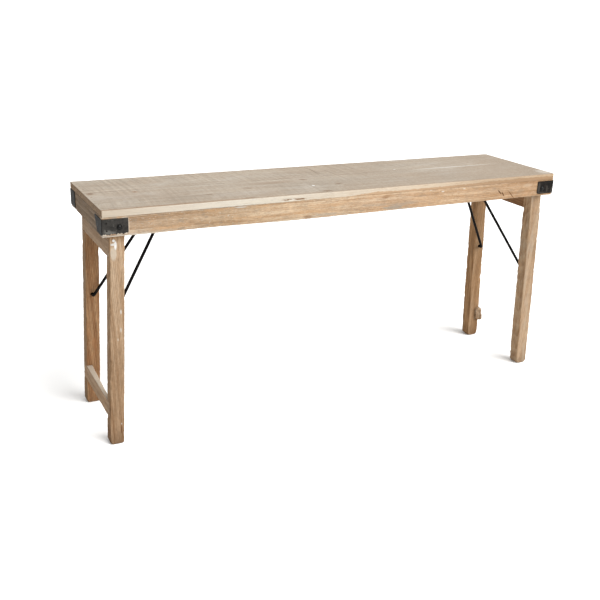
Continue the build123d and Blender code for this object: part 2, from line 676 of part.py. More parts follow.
# ---- right leg frame, its stretcher snapped off short at both legs ----
right_front_leg = leg(1, -1, RIGHT_INNER_FOOT_RADIUS, RIGHT_STRETCHER_TOP_Z, RIGHT_HOOK_Z, "right_front_leg")
right_rear_leg = leg(1, 1, RIGHT_INNER_FOOT_RADIUS, RIGHT_STRETCHER_TOP_Z, RIGHT_HOOK_Z, "right_rear_leg")
right_upper_rail = cross_rail(
    1, UPPER_RAIL_TOP_Z[1], UPPER_RAIL_HEIGHT[1], RAIL_THICKNESS, RIGHT_STRETCHER_TOP_Z, "right_upper_rail"
)
right_front_stub = snapped_stub(1, -1, *FRONT_STUB, "right_front_stretcher_stub")
right_rear_stub = snapped_stub(1, 1, *REAR_STUB, "right_rear_stretcher_stub")

# ---- nails through the laps of each frame ----
for frame_side, frame_stretcher_z, frame_name in (
    (-1, LEFT_STRETCHER_TOP_Z, "left_frame_nails"),
    (1, RIGHT_STRETCHER_TOP_Z, "right_frame_nails"),
):
    with BuildPart() as frame_nails:
        lap_points = lap_nail_points(frame_side, frame_stretcher_z)
        drive_nails(outer_view(frame_side), lap_points, FRAME_NAIL_LENGTH)
    frame_nails.part.label = frame_name
    export_step(frame_nails.part, f"parts/{frame_name}.step")

# ---- braces ----
left_brace = brace(-1, LEFT_ROD_X, LEFT_CROWN_HALF_WIDTH, LEFT_HOOK_Z, "left_brace")
right_brace = brace(1, RIGHT_ROD_X, RIGHT_CROWN_HALF_WIDTH, RIGHT_HOOK_Z, "right_brace")

# ---- staples that carry the brace crowns under the boards ----
with BuildPart() as brace_staples:
    for staple_x, staple_y in STAPLE_PLACES:
        saddle_inner = ROD_RADIUS + FIT
        saddle_outer = saddle_inner + STAPLE_THICKNESS
        wall_height = BOARD_UNDERSIDE - ROD_Z
        with BuildSketch(Plane.XZ.offset(-staple_y)):
            with Locations((staple_x, ROD_Z)):
                Circle(saddle_outer)
            with Locations((staple_x, ROD_Z + wall_height / 2)):
                Rectangle(2 * saddle_outer, wall_height)
            with Locations((staple_x, BOARD_UNDERSIDE - STAPLE_THICKNESS / 2)):
                Rectangle(STAPLE_SPAN, STAPLE_THICKNESS)
            with Locations((staple_x, ROD_Z)):
                Circle(saddle_inner, mode=Mode.SUBTRACT)
            with Locations((staple_x, ROD_Z + wall_height / 2)):
                Rectangle(2 * saddle_inner, wall_height, mode=Mode.SUBTRACT)
        extrude(amount=STAPLE_WIDTH / 2, both=True)
    sink_holes(STAPLE_NAIL_PLANE, staple_nail_points(), NAIL_RADIUS + FIT, 2 * STAPLE_THICKNESS)
brace_staples.part.label = "brace_staples"
export_step(brace_staples.part, "parts/brace_staples.step")

with BuildPart() as staple_nails:
    drive_nails(STAPLE_NAIL_PLANE, staple_nail_points(), STAPLE_NAIL_LENGTH)
staple_nails.part.label = "staple_nails"
export_step(staple_nails.part, "parts/staple_nails.step")
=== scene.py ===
import json
from math import cos, pi, radians, sin, tan

import bmesh
import bpy
import numpy as np
from mathutils import Matrix, Vector


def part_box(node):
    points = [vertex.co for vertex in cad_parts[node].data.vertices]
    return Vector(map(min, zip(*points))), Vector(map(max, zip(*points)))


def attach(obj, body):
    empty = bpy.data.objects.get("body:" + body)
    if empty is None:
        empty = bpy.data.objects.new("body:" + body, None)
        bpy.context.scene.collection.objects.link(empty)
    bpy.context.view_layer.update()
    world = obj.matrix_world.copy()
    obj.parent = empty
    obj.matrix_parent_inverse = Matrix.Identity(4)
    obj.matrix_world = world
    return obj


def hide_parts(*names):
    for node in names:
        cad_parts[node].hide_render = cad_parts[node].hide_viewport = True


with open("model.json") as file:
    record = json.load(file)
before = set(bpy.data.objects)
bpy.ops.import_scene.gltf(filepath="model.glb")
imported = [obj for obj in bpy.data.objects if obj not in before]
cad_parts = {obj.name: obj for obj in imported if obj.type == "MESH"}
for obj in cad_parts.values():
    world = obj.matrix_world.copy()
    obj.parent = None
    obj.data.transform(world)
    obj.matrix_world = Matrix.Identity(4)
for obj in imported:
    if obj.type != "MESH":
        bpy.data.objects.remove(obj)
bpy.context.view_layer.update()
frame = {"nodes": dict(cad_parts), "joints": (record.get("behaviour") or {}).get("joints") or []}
nodes = frame["nodes"]
joints = {joint["name"]: joint for joint in frame["joints"]}

SPLAY = {-1: radians(2.34), 1: radians(2.7)}  # lean of the left and right legs
INWARD = (1, -1, 1, -1)  # way into a piece from its low X, high X, low Y and high Y face
ARRIS_SIGNS = ((1, -1), (1, 1), (-1, 1), (-1, -1))  # side of X and Y of each long arris
ARC_POINTS = 6
HOLE_POINTS = 28
SMALLEST_ARRIS = 0.00025
FOOT_WEAR_HEIGHT = 0.045
SHARP_DEGREES = 38


# ---- worn timber ----


def wobble(rng, along, wavelengths):
    """Smooth random curve over a distance, about -1 to 1."""
    total = np.zeros_like(along)
    for wavelength in wavelengths:
        length = wavelength * rng.uniform(0.8, 1.25)
        total += np.sin(2 * pi * along / length + rng.uniform(0, 2 * pi))
    return total / len(wavelengths) ** 0.75


def rounding(distance, radius):
    """How far a quarter-round corner of that radius stands in, at a distance from the end."""
    if radius <= 0:
        return np.zeros_like(distance)
    inside = np.clip(radius - distance, 0.0, radius)
    return radius - np.sqrt(np.maximum(radius**2 - inside**2, 0.0))


def spread_stations(start, stop, pitch, end_radius):
    """Places along a piece: evenly spaced, closer together where its ends round off."""
    steps = np.array([0.0, 0.04, 0.15, 0.32, 0.55, 0.8, 1.0]) * end_radius
    middle = np.linspace(start + end_radius, stop - end_radius, max(3, int((stop - start) / pitch)))
    return np.unique(np.concatenate([start + steps, middle, stop - steps]).round(7))


def worn_radii(rng, stations, radii, wear, chips, foot_wear):
    """Arris radii at every station: uneven, with small chips, and larger by foot_wear at the first station."""
    start = stations[0]
    reach = stations[-1] - start
    curves = []
    for radius in radii:
        curve = radius * (1.0 + wear * wobble(rng, stations, (0.31, 0.13, 0.055, 0.023, 0.011)))
        for _ in range(chips):
            middle = start + reach * rng.uniform(0.01, 0.99)
            half = rng.uniform(0.003, 0.012)
            bite = rng.uniform(0.25, 1.0) * min(radius, 0.0035)
            curve += bite * np.clip(1.0 - ((stations - middle) / half) ** 2, 0.0, 1.0)
        curve += foot_wear * np.clip(1.0 - (stations - start) / FOOT_WEAR_HEIGHT, 0.0, 1.0) ** 2
        curves.append(curve)
    return curves


def worn_bar(name, matrix, stations, bounds, radii, seed, wear, chips, wave, sides, skew, foot_wear=0.0):
    """Timber of rounded rectangular section along local Z.

    bounds holds the low and high X and the low and high Y at each station; radii are those of the arrises in the
    order of ARRIS_SIGNS; wave is how deep the faces dip; sides is how many points lie across the faces on X and
    on Y; skew is how far each station leans per metre of local X."""
    rng = np.random.RandomState(seed)
    count = len(stations)
    low_x, high_x, low_y, high_y = bounds.T
    limit = 0.46 * np.minimum(high_x - low_x, high_y - low_y)
    arris_radii = [
        np.clip(curve, SMALLEST_ARRIS, np.maximum(limit, 0.0003))
        for curve in worn_radii(rng, stations, radii, wear, chips, foot_wear)
    ]

    def arris_point(index, angle):
        """Point of a rounded arris at an angle, for every station."""
        sign_x, sign_y = ARRIS_SIGNS[index]
        radius = arris_radii[index]
        centre_x = (high_x if sign_x > 0 else low_x) - sign_x * radius
        centre_y = (high_y if sign_y > 0 else low_y) - sign_y * radius
        return np.stack([centre_x + radius * cos(angle), centre_y + radius * sin(angle)], axis=1)

    lines = []
    normals = []
    for index in range(4):
        start = -pi / 2 + index * pi / 2
        for step in range(ARC_POINTS):
            angle = start + step / (ARC_POINTS - 1) * pi / 2
            lines.append(arris_point(index, angle))
            normals.append((cos(angle), sin(angle)))
        end = start + pi / 2
        first = lines[-1]
        last = arris_point((index + 1) % 4, end)
        parts = sides[index % 2] + 1
        for step in range(1, parts):
            lines.append(first * (1 - step / parts) + last * (step / parts))
            normals.append((cos(end), sin(end)))
    ring = np.stack(lines, axis=1)
    outward = np.array(normals)
    around = len(outward)
    turn = np.arange(around) / around
    dent = np.zeros((count, around))
    for _ in range(7):
        length = rng.uniform(0.05, 0.4)
        laps = rng.randint(1, 6)
        dent += np.sin(2 * pi * (stations[:, None] / length + laps * turn[None, :]) + rng.uniform(0, 2 * pi))
    dent = wave * (0.5 + dent / 12.0).clip(0.03, 1.0)
    ring = ring - outward[None, :, :] * dent[:, :, None]
    height = np.repeat(stations[:, None], around, axis=1) + skew[:, None] * ring[:, :, 0]
    points = np.concatenate([ring, height[:, :, None]], axis=2).reshape(-1, 3)
    world = points @ np.array(matrix.to_3x3()).T + np.array(matrix.translation)
    faces = []
    for low in range(0, (count - 1) * around, around):
        high = low + around
        for column in range(around):
            after = (column + 1) % around
            faces.append((low + column, low + after, high + after, high + column))
    faces.append(tuple(range(around))[::-1])
    faces.append(tuple((count - 1) * around + column for column in range(around)))
    return finish_mesh(name, world, faces)


def finish_mesh(name, points, faces):
    """Object of a mesh with outward normals, smooth but for its sharp turns."""
    mesh = bpy.data.meshes.new(name)
    mesh.from_pydata([tuple(point) for point in points], [], faces)
    shape = bmesh.new()
    shape.from_mesh(mesh)
    bmesh.ops.recalc_face_normals(shape, faces=shape.faces)
    shape.to_mesh(mesh)
    shape.free()
    smooth_over(mesh)
    piece = bpy.data.objects.new(name, mesh)
    bpy.context.scene.collection.objects.link(piece)
    return piece


def smooth_over(mesh):
    mesh.shade_smooth()
    mesh.set_sharp_from_angle(angle=radians(SHARP_DEGREES))


def prism_cutter(matrix, outline, low_y, high_y):
    """Points and faces of a prism along local Y; outline lists the X and Z of its corners."""
    count = len(outline)
    points = [matrix @ Vector((x, y, z)) for y in (low_y, high_y) for x, z in outline]
    faces = [(step, (step + 1) % count, count + (step + 1) % count, count + step) for step in range(count)]
    faces.append(tuple(range(count))[::-1])
    faces.append(tuple(range(count, 2 * count)))
    return points, faces


def hole_outline(height, radius):
    """Round outline on a leg's middle line, at a height up the leg from the pivot."""
    angles = [2 * pi * step / HOLE_POINTS for step in range(HOLE_POINTS)]
    return [(radius * cos(angle), height + radius * sin(angle)) for angle in angles]


def carve(piece, cutters):
    """Cuts housings and holes out of a piece."""
    points, faces = [], []
    for cutter_points, cutter_faces in cutters:
        start = len(points)
        points.extend(cutter_points)
        faces.extend(tuple(start + corner for corner in face) for face in cutter_faces)
    tool = finish_mesh("cutter", points, faces)
    modifier = piece.modifiers.new("carve", "BOOLEAN")
    modifier.operation = "DIFFERENCE"
    modifier.solver = "EXACT"
    modifier.object = tool
    graph = bpy.context.evaluated_depsgraph_get()
    carved = bpy.data.meshes.new_from_object(piece.evaluated_get(graph))
    piece.modifiers.clear()
    piece.data = carved
    bpy.data.objects.remove(tool)
    smooth_over(carved)


def stand_for(piece, node, body, material):
    """Shows a piece in place of the plain CAD node of the same part."""
    piece.data.materials.clear()
    piece.data.materials.append(material)
    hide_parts(node)
    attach(piece, body)


# ---- colour and node helpers ----


def srgb(red, green, blue, light=1.0):
    """Linear RGBA of a colour given as 0-255 display values, for a surface that gets light times what a white
    page needs to display as white."""
    def linear(value):
        value = value / 255.0
        return value / 12.92 if value <= 0.04045 else ((value + 0.055) / 1.055) ** 2.4
    return (linear(red) / light, linear(green) / light, linear(blue) / light, 1.0)


class Graph:
    """A material's node tree, with one short method per kind of node."""

    def __init__(self, name):
        self.material = bpy.data.materials.new(name)
        self.material.use_nodes = True
        self.tree = self.material.node_tree
        self.tree.nodes.clear()
        output = self.tree.nodes.new("ShaderNodeOutputMaterial")
        self.shader = self.tree.nodes.new("ShaderNodeBsdfPrincipled")
        self.tree.links.new(self.shader.outputs["BSDF"], output.inputs["Surface"])
        coordinates = self.node("TexCoord", {})
        self.place = coordinates["Object"]
        self.x, self.y, self.z = self.split(self.place)
        self.face_x, self.face_y, self.face_z = self.split(coordinates["Normal"])
        self.left_side = self.steps(self.face_x, -0.35, -0.62)
        self.front_side = self.steps(self.face_y, -0.35, -0.62)

    def connect(self, value, socket):
        if isinstance(value, bpy.types.NodeSocket):
            self.tree.links.new(value, socket)
        else:
            socket.default_value = value

    def node(self, kind, inputs, **settings):
        """Adds a node with settings; inputs are values or the outputs of other nodes. Returns its outputs."""
        node = self.tree.nodes.new("ShaderNode" + kind)
        for setting, value in settings.items():
            setattr(node, setting, value)
        for key, value in inputs.items():
            self.connect(value, node.inputs[key])
        return node.outputs

    def split(self, vector):
        outputs = self.node("SeparateXYZ", {0: vector})
        return outputs[0], outputs[1], outputs[2]

    def join(self, x, y, z):
        return self.node("CombineXYZ", {0: x, 1: y, 2: z})[0]

    def math(self, operation, first, second=0.5, clamp=False):
        return self.node("Math", {0: first, 1: second}, operation=operation, use_clamp=clamp)[0]

    def add(self, first, second):
        return self.math("ADD", first, second)

    def times(self, first, second):
        return self.math("MULTIPLY", first, second)

    def minus(self, first, second):
        return self.math("SUBTRACT", first, second)

    def vector_math(self, operation, first, second):
        outputs = self.node("VectorMath", {0: first, 1: second}, operation=operation)
        return outputs["Value" if operation == "LENGTH" else 0]

    def mapped(self, vector, scale=(1, 1, 1), rotation=(0, 0, 0), shift=(0, 0, 0)):
        inputs = {"Location": shift, "Rotation": rotation, "Scale": scale, "Vector": vector}
        return self.node("Mapping", inputs)[0]

    def noise(self, vector, scale=1.0, detail=4.0, roughness=0.55, distortion=0.0):
        inputs = {"Vector": vector, "Scale": scale, "Detail": detail, "Roughness": roughness}
        return self.node("TexNoise", {**inputs, "Distortion": distortion})["Fac"]

    def patches(self, scale, detail, roughness, distortion=0.0, rotation=(0, 0, 0), shift=(0, 0, 0)):
        """Uneven patches, 0 to 1; a larger scale along an axis makes them narrower along it."""
        return self.noise(self.mapped(self.place, scale, rotation, shift), 1.0, detail, roughness, distortion)

    def waver(self, amount, scale, detail, roughness):
        """Uneven ups and downs, half the amount to either side of 0."""
        return self.times(self.minus(self.patches(scale, detail, roughness), 0.5), amount)

    def steps(self, value, low, high, low_out=0.0, high_out=1.0):
        """Smooth ramp of a value from low to high."""
        inputs = {"Value": value, "From Min": low, "From Max": high, "To Min": low_out, "To Max": high_out}
        return self.node("MapRange", inputs, interpolation_type="SMOOTHSTEP")["Result"]

    def mix(self, factor, first, second, blend="MIX"):
        inputs = {0: factor, 6: first, 7: second}
        return self.node("Mix", inputs, data_type="RGBA", blend_type=blend, clamp_factor=True)[2]

    def patchy(self, colour, patches, low, high, share, tone):
        """Lays a share of a tone on a colour where the patches pass from low to high."""
        return self.tint(colour, self.steps(patches, low, high), share, tone)

    def tint(self, colour, mask, share, tone):
        """Lays a share of a tone on a colour where the mask is 1."""
        return self.mix(self.times(mask, share), colour, tone)

    def multiply(self, colour, factors):
        return self.vector_math("MULTIPLY", colour, factors)

    def shade(self, colour, amount):
        """A colour times a number."""
        return self.mix(1.0, colour, self.join(amount, amount, amount), "MULTIPLY")

    def ramp(self, value, stops):
        node = self.tree.nodes.new("ShaderNodeValToRGB")
        elements = node.color_ramp.elements
        while len(elements) < len(stops):
            elements.new(0.5)
        for element, (position, colour) in zip(elements, stops):
            element.position = position
            element.color = colour
        self.connect(value, node.inputs[0])
        return node.outputs["Color"]

    def spread(self, value, low, high, stops):
        """Colours along a range of a value, with their places given in that range."""
        share = self.math("DIVIDE", self.minus(value, low), high - low, clamp=True)
        return self.ramp(share, [((place - low) / (high - low), colour) for place, colour in stops])

    def along_table(self, light, stops):
        """Colours along the table, from places on X and display values."""
        colours = [(place, srgb(*shown, light)) for place, *shown in stops]
        return self.spread(self.x, -HALF_TABLE, HALF_TABLE, colours)

    def blob(self, centre, radii, edge=0.3, ragged=0.0, noise_scale=300.0, turn=(0, 0, 0)):
        """1 inside an ellipsoid round a point, falling to 0 outside it, with a ragged rim."""
        away = self.vector_math("SUBTRACT", self.place, centre)
        if any(turn):
            away = self.mapped(away, rotation=turn)
        away = self.vector_math("DIVIDE", away, radii)
        distance = self.vector_math("LENGTH", away, (0, 0, 0))
        if ragged:
            rim = self.minus(self.noise(self.place, noise_scale, 3.0, 0.6), 0.5)
            distance = self.add(distance, self.times(rim, ragged))
        return self.steps(distance, 1.0 - edge, 1.0 + edge, 1.0, 0.0)

    def bump(self, height, strength, distance):
        inputs = {"Height": height, "Strength": strength, "Distance": distance}
        self.connect(self.node("Bump", inputs)["Normal"], self.shader.inputs["Normal"])

    def finish(self, colour, roughness, specular=0.3):
        self.connect(colour, self.shader.inputs["Base Color"])
        self.connect(roughness, self.shader.inputs["Roughness"])
        self.shader.inputs["Specular IOR Level"].default_value = specular
        return self.material


# ---- wood ----

# light on each way of facing, as a multiple of what a white page needs to display as white
UP = 1.62
FRONT = 2.1
SIDE = 1.0

ALONG_X = (1.0, 0.0, 0.0)
ALONG_Y = (0.0, 1.0, 0.0)
ALONG_Z = (0.0, 0.0, 1.0)
HALF_TABLE = 0.83
RING_PITCH = 0.0052
DRY = 0.07  # specular level of bare timber
# faces that carry small marks: the axis they face along, their place on it and their light
TOP_FACE = ("Z", 0.76, UP)
APRON_FACE = ("Y", -0.197, FRONT)
LEG_FACE = ("Y", -0.176, FRONT)
MARK_DEPTH = 0.01


def grain_scale(along, along_scale, across_scale):
    return tuple(along_scale if part else across_scale for part in along)


def wood_grain(g, along, seed, tilt):
    """Figure of flat-sawn timber: returns growth rings, streaks, fine fibre and pores, each 0 to 1."""
    rotated = g.mapped(g.place, rotation=(0, tilt, 0))
    moved = g.mapped(rotated, shift=(seed * 0.37, seed * 0.53, seed * 0.71))

    def figure(scale_along, scale_across, detail, roughness, distortion=0.0):
        scale = grain_scale(along, scale_along, scale_across)
        return g.noise(g.mapped(moved, scale), 1.0, detail, roughness, distortion)

    warp = g.minus(figure(1.7, 7.0, 3.0, 0.5), 0.5)
    ripple = g.minus(figure(9.0, 40.0, 2.0, 0.5), 0.5)
    x, y, z = g.split(rotated)
    first, second = (y, z) if along == ALONG_X else (x, z) if along == ALONG_Y else (x, y)
    first = g.add(first, 0.06 + 0.013 * (seed % 3))
    second = g.add(second, -0.09 if along != ALONG_Z else 0.09)
    radius = g.math("SQRT", g.add(g.times(first, first), g.times(second, second)))
    radius = g.add(radius, g.add(g.times(warp, 0.034), g.times(ripple, 0.0022)))
    phase = g.math("FRACT", g.math("DIVIDE", radius, RING_PITCH))
    rings = g.times(g.steps(phase, 0.0, 0.72), g.steps(phase, 0.86, 1.0, 1.0, 0.0))
    streak = figure(3.0, 80.0, 5.0, 0.62, 0.6)
    fibre = figure(16.0, 560.0, 4.0, 0.7, 0.2)
    pores = g.steps(figure(42.0, 1250.0, 2.0, 0.5), 0.60, 0.70)
    return rings, streak, fibre, pores


def timber(name, along, light, tones, seed, tilt, rings_share, contrast):
    """Dry, weathered timber of a dark, a middle and a pale tone: returns its graph, colour and grain height."""
    g = Graph(name)
    rings, streak, fibre, pores = wood_grain(g, along, seed, tilt)
    tone = g.add(g.times(streak, 0.80), g.times(fibre, 0.20))
    tone = g.steps(tone, 0.5 - 0.17 / contrast, 0.5 + 0.17 / contrast)
    tone = g.add(g.times(tone, 1.0 - rings_share), g.times(g.minus(1.0, rings), rings_share))
    colour = g.ramp(tone, [(place, srgb(*shown, light)) for place, shown in zip((0.0, 0.5, 1.0), tones)])
    colour = g.shade(colour, g.minus(1.0, g.times(pores, 0.20)))
    broad = g.patches(grain_scale(along, 3.0, 14.0), 3.0, 0.5, shift=(seed, 0, 0))
    colour = g.shade(colour, g.steps(broad, 0.3, 0.7, 0.92, 1.07))
    height = g.minus(g.times(fibre, 0.9), g.times(pores, 0.8))
    height = g.add(height, g.add(g.times(streak, 0.7), g.times(rings, -0.35)))
    return g, colour, height


def scuffed_wood(name, along, light, tones, seed, tilt=0.0, rings_share=0.28, contrast=1.0, marks=None):
    """Finished timber material; marks(g, colour) may paint extra wear on it, and on some legs painted shade and
    painted light.
    """
    g, colour, height = timber(name, along, light, tones, seed, tilt, rings_share, contrast)
    speck = g.patches(tuple(260.0 - 190.0 * part for part in along), 5.0, 0.75)
    colour = g.shade(colour, g.steps(speck, 0.34, 0.66, 1.13, 0.87))
    if marks is not None:
        colour = marks(g, colour)
    grime = g.noise(g.place, 22.0, 4.0, 0.6)
    colour = g.shade(colour, g.steps(grime, 0.35, 0.65, 0.95, 1.04))
    g.bump(height, 0.55, 0.0009)
    return g.finish(colour, g.steps(grime, 0.3, 0.7, 0.72, 0.88), DRY)


def small_mark(g, colour, face, spot, radii, edge, shown, share, ragged, rim_scale, turn=0.0, within=None):
    """A small mark on a face; its spot and radii are given in X and the face's other axis."""
    axis, level, light = face
    if axis == "Z":
        centre, size, rotation = (*spot, level), (*radii, MARK_DEPTH), (0, 0, turn)
    else:
        centre, size, rotation = (spot[0], level, spot[1]), (radii[0], MARK_DEPTH, radii[1]), (0, turn, 0)
    mask = g.blob(centre, size, edge, ragged, rim_scale, rotation)
    if within is not None:
        mask = g.times(mask, within)
    return g.tint(colour, mask, share, srgb(*shown, light))


def top_clouds(g, colour):
    """Greyer and pinker clouds, dirt along the joint between the boards, darker far and near corners."""
    cloud = g.patches((2.6, 7.0, 1.0), 3.0, 0.5)
    colour = g.mix(g.steps(cloud, 0.40, 0.62, 0.0, 0.45), colour, srgb(186, 168, 148, UP))
    cloud_two = g.patches((5.0, 13.0, 1.0), 4.0, 0.6, shift=(4, 2, 0))
    colour = g.mix(g.steps(cloud_two, 0.50, 0.72, 0.0, 0.5), colour, srgb(207, 198, 186, UP))
    colour = g.tint(colour, g.steps(g.x, 0.35, 0.83), 0.55, srgb(188, 171, 152, UP))
    mottle = g.patches((95.0, 150.0, 1.0), 5.0, 0.72, shift=(1, 8, 0))
    colour = g.patchy(colour, mottle, 0.50, 0.66, 0.42, srgb(166, 142, 120, UP))
    colour = g.patchy(colour, mottle, 0.46, 0.34, 0.35, srgb(216, 205, 190, UP))
    joint_gap = g.math("ABSOLUTE", g.minus(g.y, 0.027))
    dirt = g.times(g.steps(joint_gap, 0.0065, 0.0015), g.steps(g.x, 0.36, 0.10))
    colour = g.tint(colour, dirt, 0.22, srgb(140, 120, 102, UP))
    near = g.times(g.steps(g.x, -0.35, -0.60), g.steps(g.y, -0.02, -0.12))
    far = g.steps(g.x, 0.60, 0.80)
    return g.shade(colour, g.minus(1.0, g.add(g.times(near, 0.08), g.times(far, 0.05))))


def saw_marks(g, upward):
    """Marks of the saw, slightly bowed across the boards: returns their tone and height."""
    bowed = g.join(g.add(g.x, g.times(g.times(g.y, g.y), 0.35)), g.y, g.z)
    fine = g.noise(g.mapped(bowed, (330.0, 3.5, 0.0)), 1.0, 2.0, 0.6)
    coarse = g.noise(g.mapped(bowed, (90.0, 2.5, 0.0), shift=(7, 1, 0)), 1.0, 2.0, 0.5)
    where = g.patches((4.0, 9.0, 0.0), 2.0, 0.5, shift=(2, 5, 0))
    strength = g.times(g.steps(where, 0.32, 0.58, 0.25, 1.0), g.steps(g.x, -0.1, 0.65, 1.0, 0.35))
    strength = g.times(strength, g.steps(g.y, -0.08, 0.06, 0.6, 1.0))
    tone = g.add(g.times(g.minus(fine, 0.5), 0.62), g.times(g.minus(coarse, 0.5), 0.55))
    return g.times(g.times(tone, strength), upward), g.times(g.times(fine, strength), upward)


def top_marks(g, colour):
    """A scored line, a knot, stains, specks of paint and a painted highlight near the front right corner on the top.
    """
    stain = (140, 112, 88)
    paint = (250, 248, 242)
    for x, y, radius_x, radius_y, edge, turn, shown, share in (
        (-0.0035, 0.0960, 0.0012, 0.058, 0.25, 0.12, (116, 96, 78), 0.75),
        (-0.6734, -0.0025, 0.008, 0.0070, 0.5, 0.2, (172, 134, 102), 0.7),
        (-0.6734, -0.0025, 0.0036, 0.0034, 0.4, 0.2, (112, 84, 62), 0.8),
        (-0.1050, -0.0950, 0.0046, 0.0062, 0.3, 0, paint, 1.0),
        (0.2961, 0.0472, 0.0037, 0.0056, 0.3, 0, paint, 0.6),
        (-0.8079, 0.0117, 0.009, 0.012, 0.6, 0.3, stain, 0.7),
        (-0.0967, -0.0032, 0.012, 0.007, 0.6, 0.3, stain, 0.7),
        (-0.0103, -0.0947, 0.014, 0.006, 0.6, -0.2, stain, 0.65),
        (-0.0961, -0.1758, 0.017, 0.006, 0.6, 0.1, stain, 0.7),
        (-0.3230, -0.0631, 0.012, 0.008, 0.6, 0.5, stain, 0.55),
        (-0.3658, -0.1860, 0.015, 0.005, 0.6, 0.1, stain, 0.6),
        (-0.5329, -0.0797, 0.010, 0.0035, 0.5, 0.2, stain, 0.7),
        (-0.4717, -0.1055, 0.012, 0.0035, 0.5, 0.1, stain, 0.65),
        (-0.2228, -0.0198, 0.060, 0.016, 0.9, 0, (166, 144, 122), 0.5),
        # painted highlight: pale patch near the rounded front right corner of the top
        (0.8090, -0.1560, 0.020, 0.030, 0.6, 0, (218, 209, 196), 0.8),
        (0.5430, 0.0222, 0.160, 0.0050, 0.40, 0, (232, 225, 214), 0.9),
    ):
        colour = small_mark(g, colour, TOP_FACE, (x, y), (radius_x, radius_y), edge, shown, share, 0.35, 420.0, turn)
    drip = g.blob((0.728, -0.197, 0.7525), (0.0045, 0.004, 0.003), 0.3, 0.35, 420.0)
    return g.tint(colour, drip, 0.9, srgb(240, 236, 228, FRONT))


def end_brown(g):
    """Brown, saw-roughened end grain with growth arcs and pits."""
    arcs = g.patches(grain_scale(ALONG_X, 0.0, 130.0), 4.0, 0.7, 1.5, shift=(2.0, 2.0, 2.0))
    pits = g.noise(g.place, 900.0, 2.0, 0.6)
    tone = g.add(g.times(arcs, 0.7), g.times(pits, 0.3))
    return g.ramp(g.steps(tone, 0.34, 0.66), [(0.0, srgb(84, 68, 52, SIDE)), (1.0, srgb(134, 112, 89, SIDE))])


def front_edge_paint(g, coat):
    """Cream paint on the front edge, rubbed through to tan at the right and worn off below a wandering line."""
    cream = g.along_table(
        FRONT,
        ((-0.82, 214, 198, 177), (-0.60, 228, 215, 197), (-0.40, 236, 226, 209), (-0.10, 231, 216, 196),
         (0.28, 231, 210, 184), (0.54, 209, 182, 152), (0.82, 212, 184, 152)),
    )
    rubbed = g.times(g.steps(coat, 0.54, 0.64), g.steps(g.x, -0.2, 0.6, 0.12, 0.55))
    cream = g.mix(rubbed, cream, srgb(190, 158, 124, FRONT))
    grey_coat = g.patches((34.0, 160.0, 160.0), 5.0, 0.68, shift=(3, 1, 2))
    grey = g.times(g.steps(grey_coat, 0.58, 0.68), g.steps(g.x, -0.35, -0.1, 0.55, 0.2))
    cream = g.mix(grey, cream, srgb(203, 198, 190, FRONT))
    worn_height = ((-0.27, 0.0), (-0.19, 0.12), (-0.02, 0.14), (0.08, 0.50), (0.165, 0.34), (0.45, 0.48), (0.65, 0.66),
                   (0.82, 0.66))
    low_line = g.spread(g.x, -HALF_TABLE, HALF_TABLE, [(x, (part, part, part, 1.0)) for x, part in worn_height])
    low_line = g.add(0.7385, g.times(low_line, 0.0215))
    wander = g.waver(0.011, (70.0, 0.0, 60.0), 5.0, 0.7)
    below = g.steps(g.minus(g.add(g.z, wander), low_line), 0.0008, -0.0012)
    honey = g.along_table(
        FRONT, ((-0.2, 212, 176, 138), (0.25, 208, 170, 131), (0.5, 186, 152, 119), (0.8, 184, 148, 113))
    )
    cream = g.tint(cream, below, 0.85, honey)
    fibre_lines = g.patches((9.0, 1.0, 620.0), 3.0, 0.6)
    return g.shade(cream, g.steps(fibre_lines, 0.3, 0.7, 0.92, 1.06))


def joint_wear(g, colour, coat):
    """Ragged lower rim of the front edge, left of the middle, where the paint is chipped off the joint."""
    level = g.add(g.z, g.waver(0.006, (90.0, 0.0, 0.0), 4.0, 0.7))
    run = g.times(g.steps(g.x, -0.56, -0.50), g.steps(g.x, -0.34, -0.38))
    share = g.times(g.steps(level, 0.7432, 0.7412), run)
    worn = g.ramp(g.steps(coat, 0.44, 0.54), [(0.0, srgb(206, 200, 190, FRONT)), (1.0, srgb(150, 118, 88, FRONT))])
    return g.tint(colour, g.times(share, g.front_side), 0.8, worn)


def splinter(g, colour):
    """Long splinter in the front edge, with pale torn chips: returns the colour and the crack."""
    line = g.add(0.7462, g.waver(0.006, (30, 0, 0), 3.0, 0.6))
    off = g.math("ABSOLUTE", g.minus(g.z, line))
    run = g.times(g.steps(g.x, -0.272, -0.258), g.steps(g.x, -0.175, -0.195))
    run = g.times(run, g.front_side)
    crack = g.times(g.steps(off, 0.0014, 0.0034, 1.0, 0.0), run)
    colour = g.tint(colour, crack, 0.9, srgb(148, 112, 80, FRONT))
    torn = g.patches((60.0, 200.0, 200.0), 3.0, 0.6)
    halo = g.times(g.times(g.steps(off, 0.0022, 0.0060, 1.0, 0.0), g.steps(torn, 0.50, 0.60)), run)
    return g.mix(halo, colour, srgb(240, 230, 214, FRONT)), crack


def top_timber(name, seed):
    """Saw-marked, greyed timber of the top: returns its graph, colour, height and upward faces."""
    tones = ((176, 160, 142), (192, 179, 162), (203, 192, 177))
    g, colour, height = timber(name, ALONG_X, UP, tones, seed, 0.0, 0.08, 0.6)
    upward = g.steps(g.face_z, 0.55, 0.85)
    colour = top_clouds(g, colour)
    saw_tone, saw_height = saw_marks(g, upward)
    colour = top_marks(g, g.shade(colour, g.add(1.0, saw_tone)))
    return g, colour, g.add(height, g.times(saw_height, 2.4)), upward


def rear_top_wood():
    """Rear board: darker on every face that does not face up, and brown left end."""
    g, colour, height, upward = top_timber("rear_top_timber", 3.0)
    colour = g.mix(g.minus(1.0, upward), colour, g.shade(colour, 0.72))
    colour = g.mix(g.steps(g.face_x, -0.4, -0.7), colour, end_brown(g))
    g.bump(height, 0.5, 0.0008)
    return g.finish(colour, 0.84, DRY)


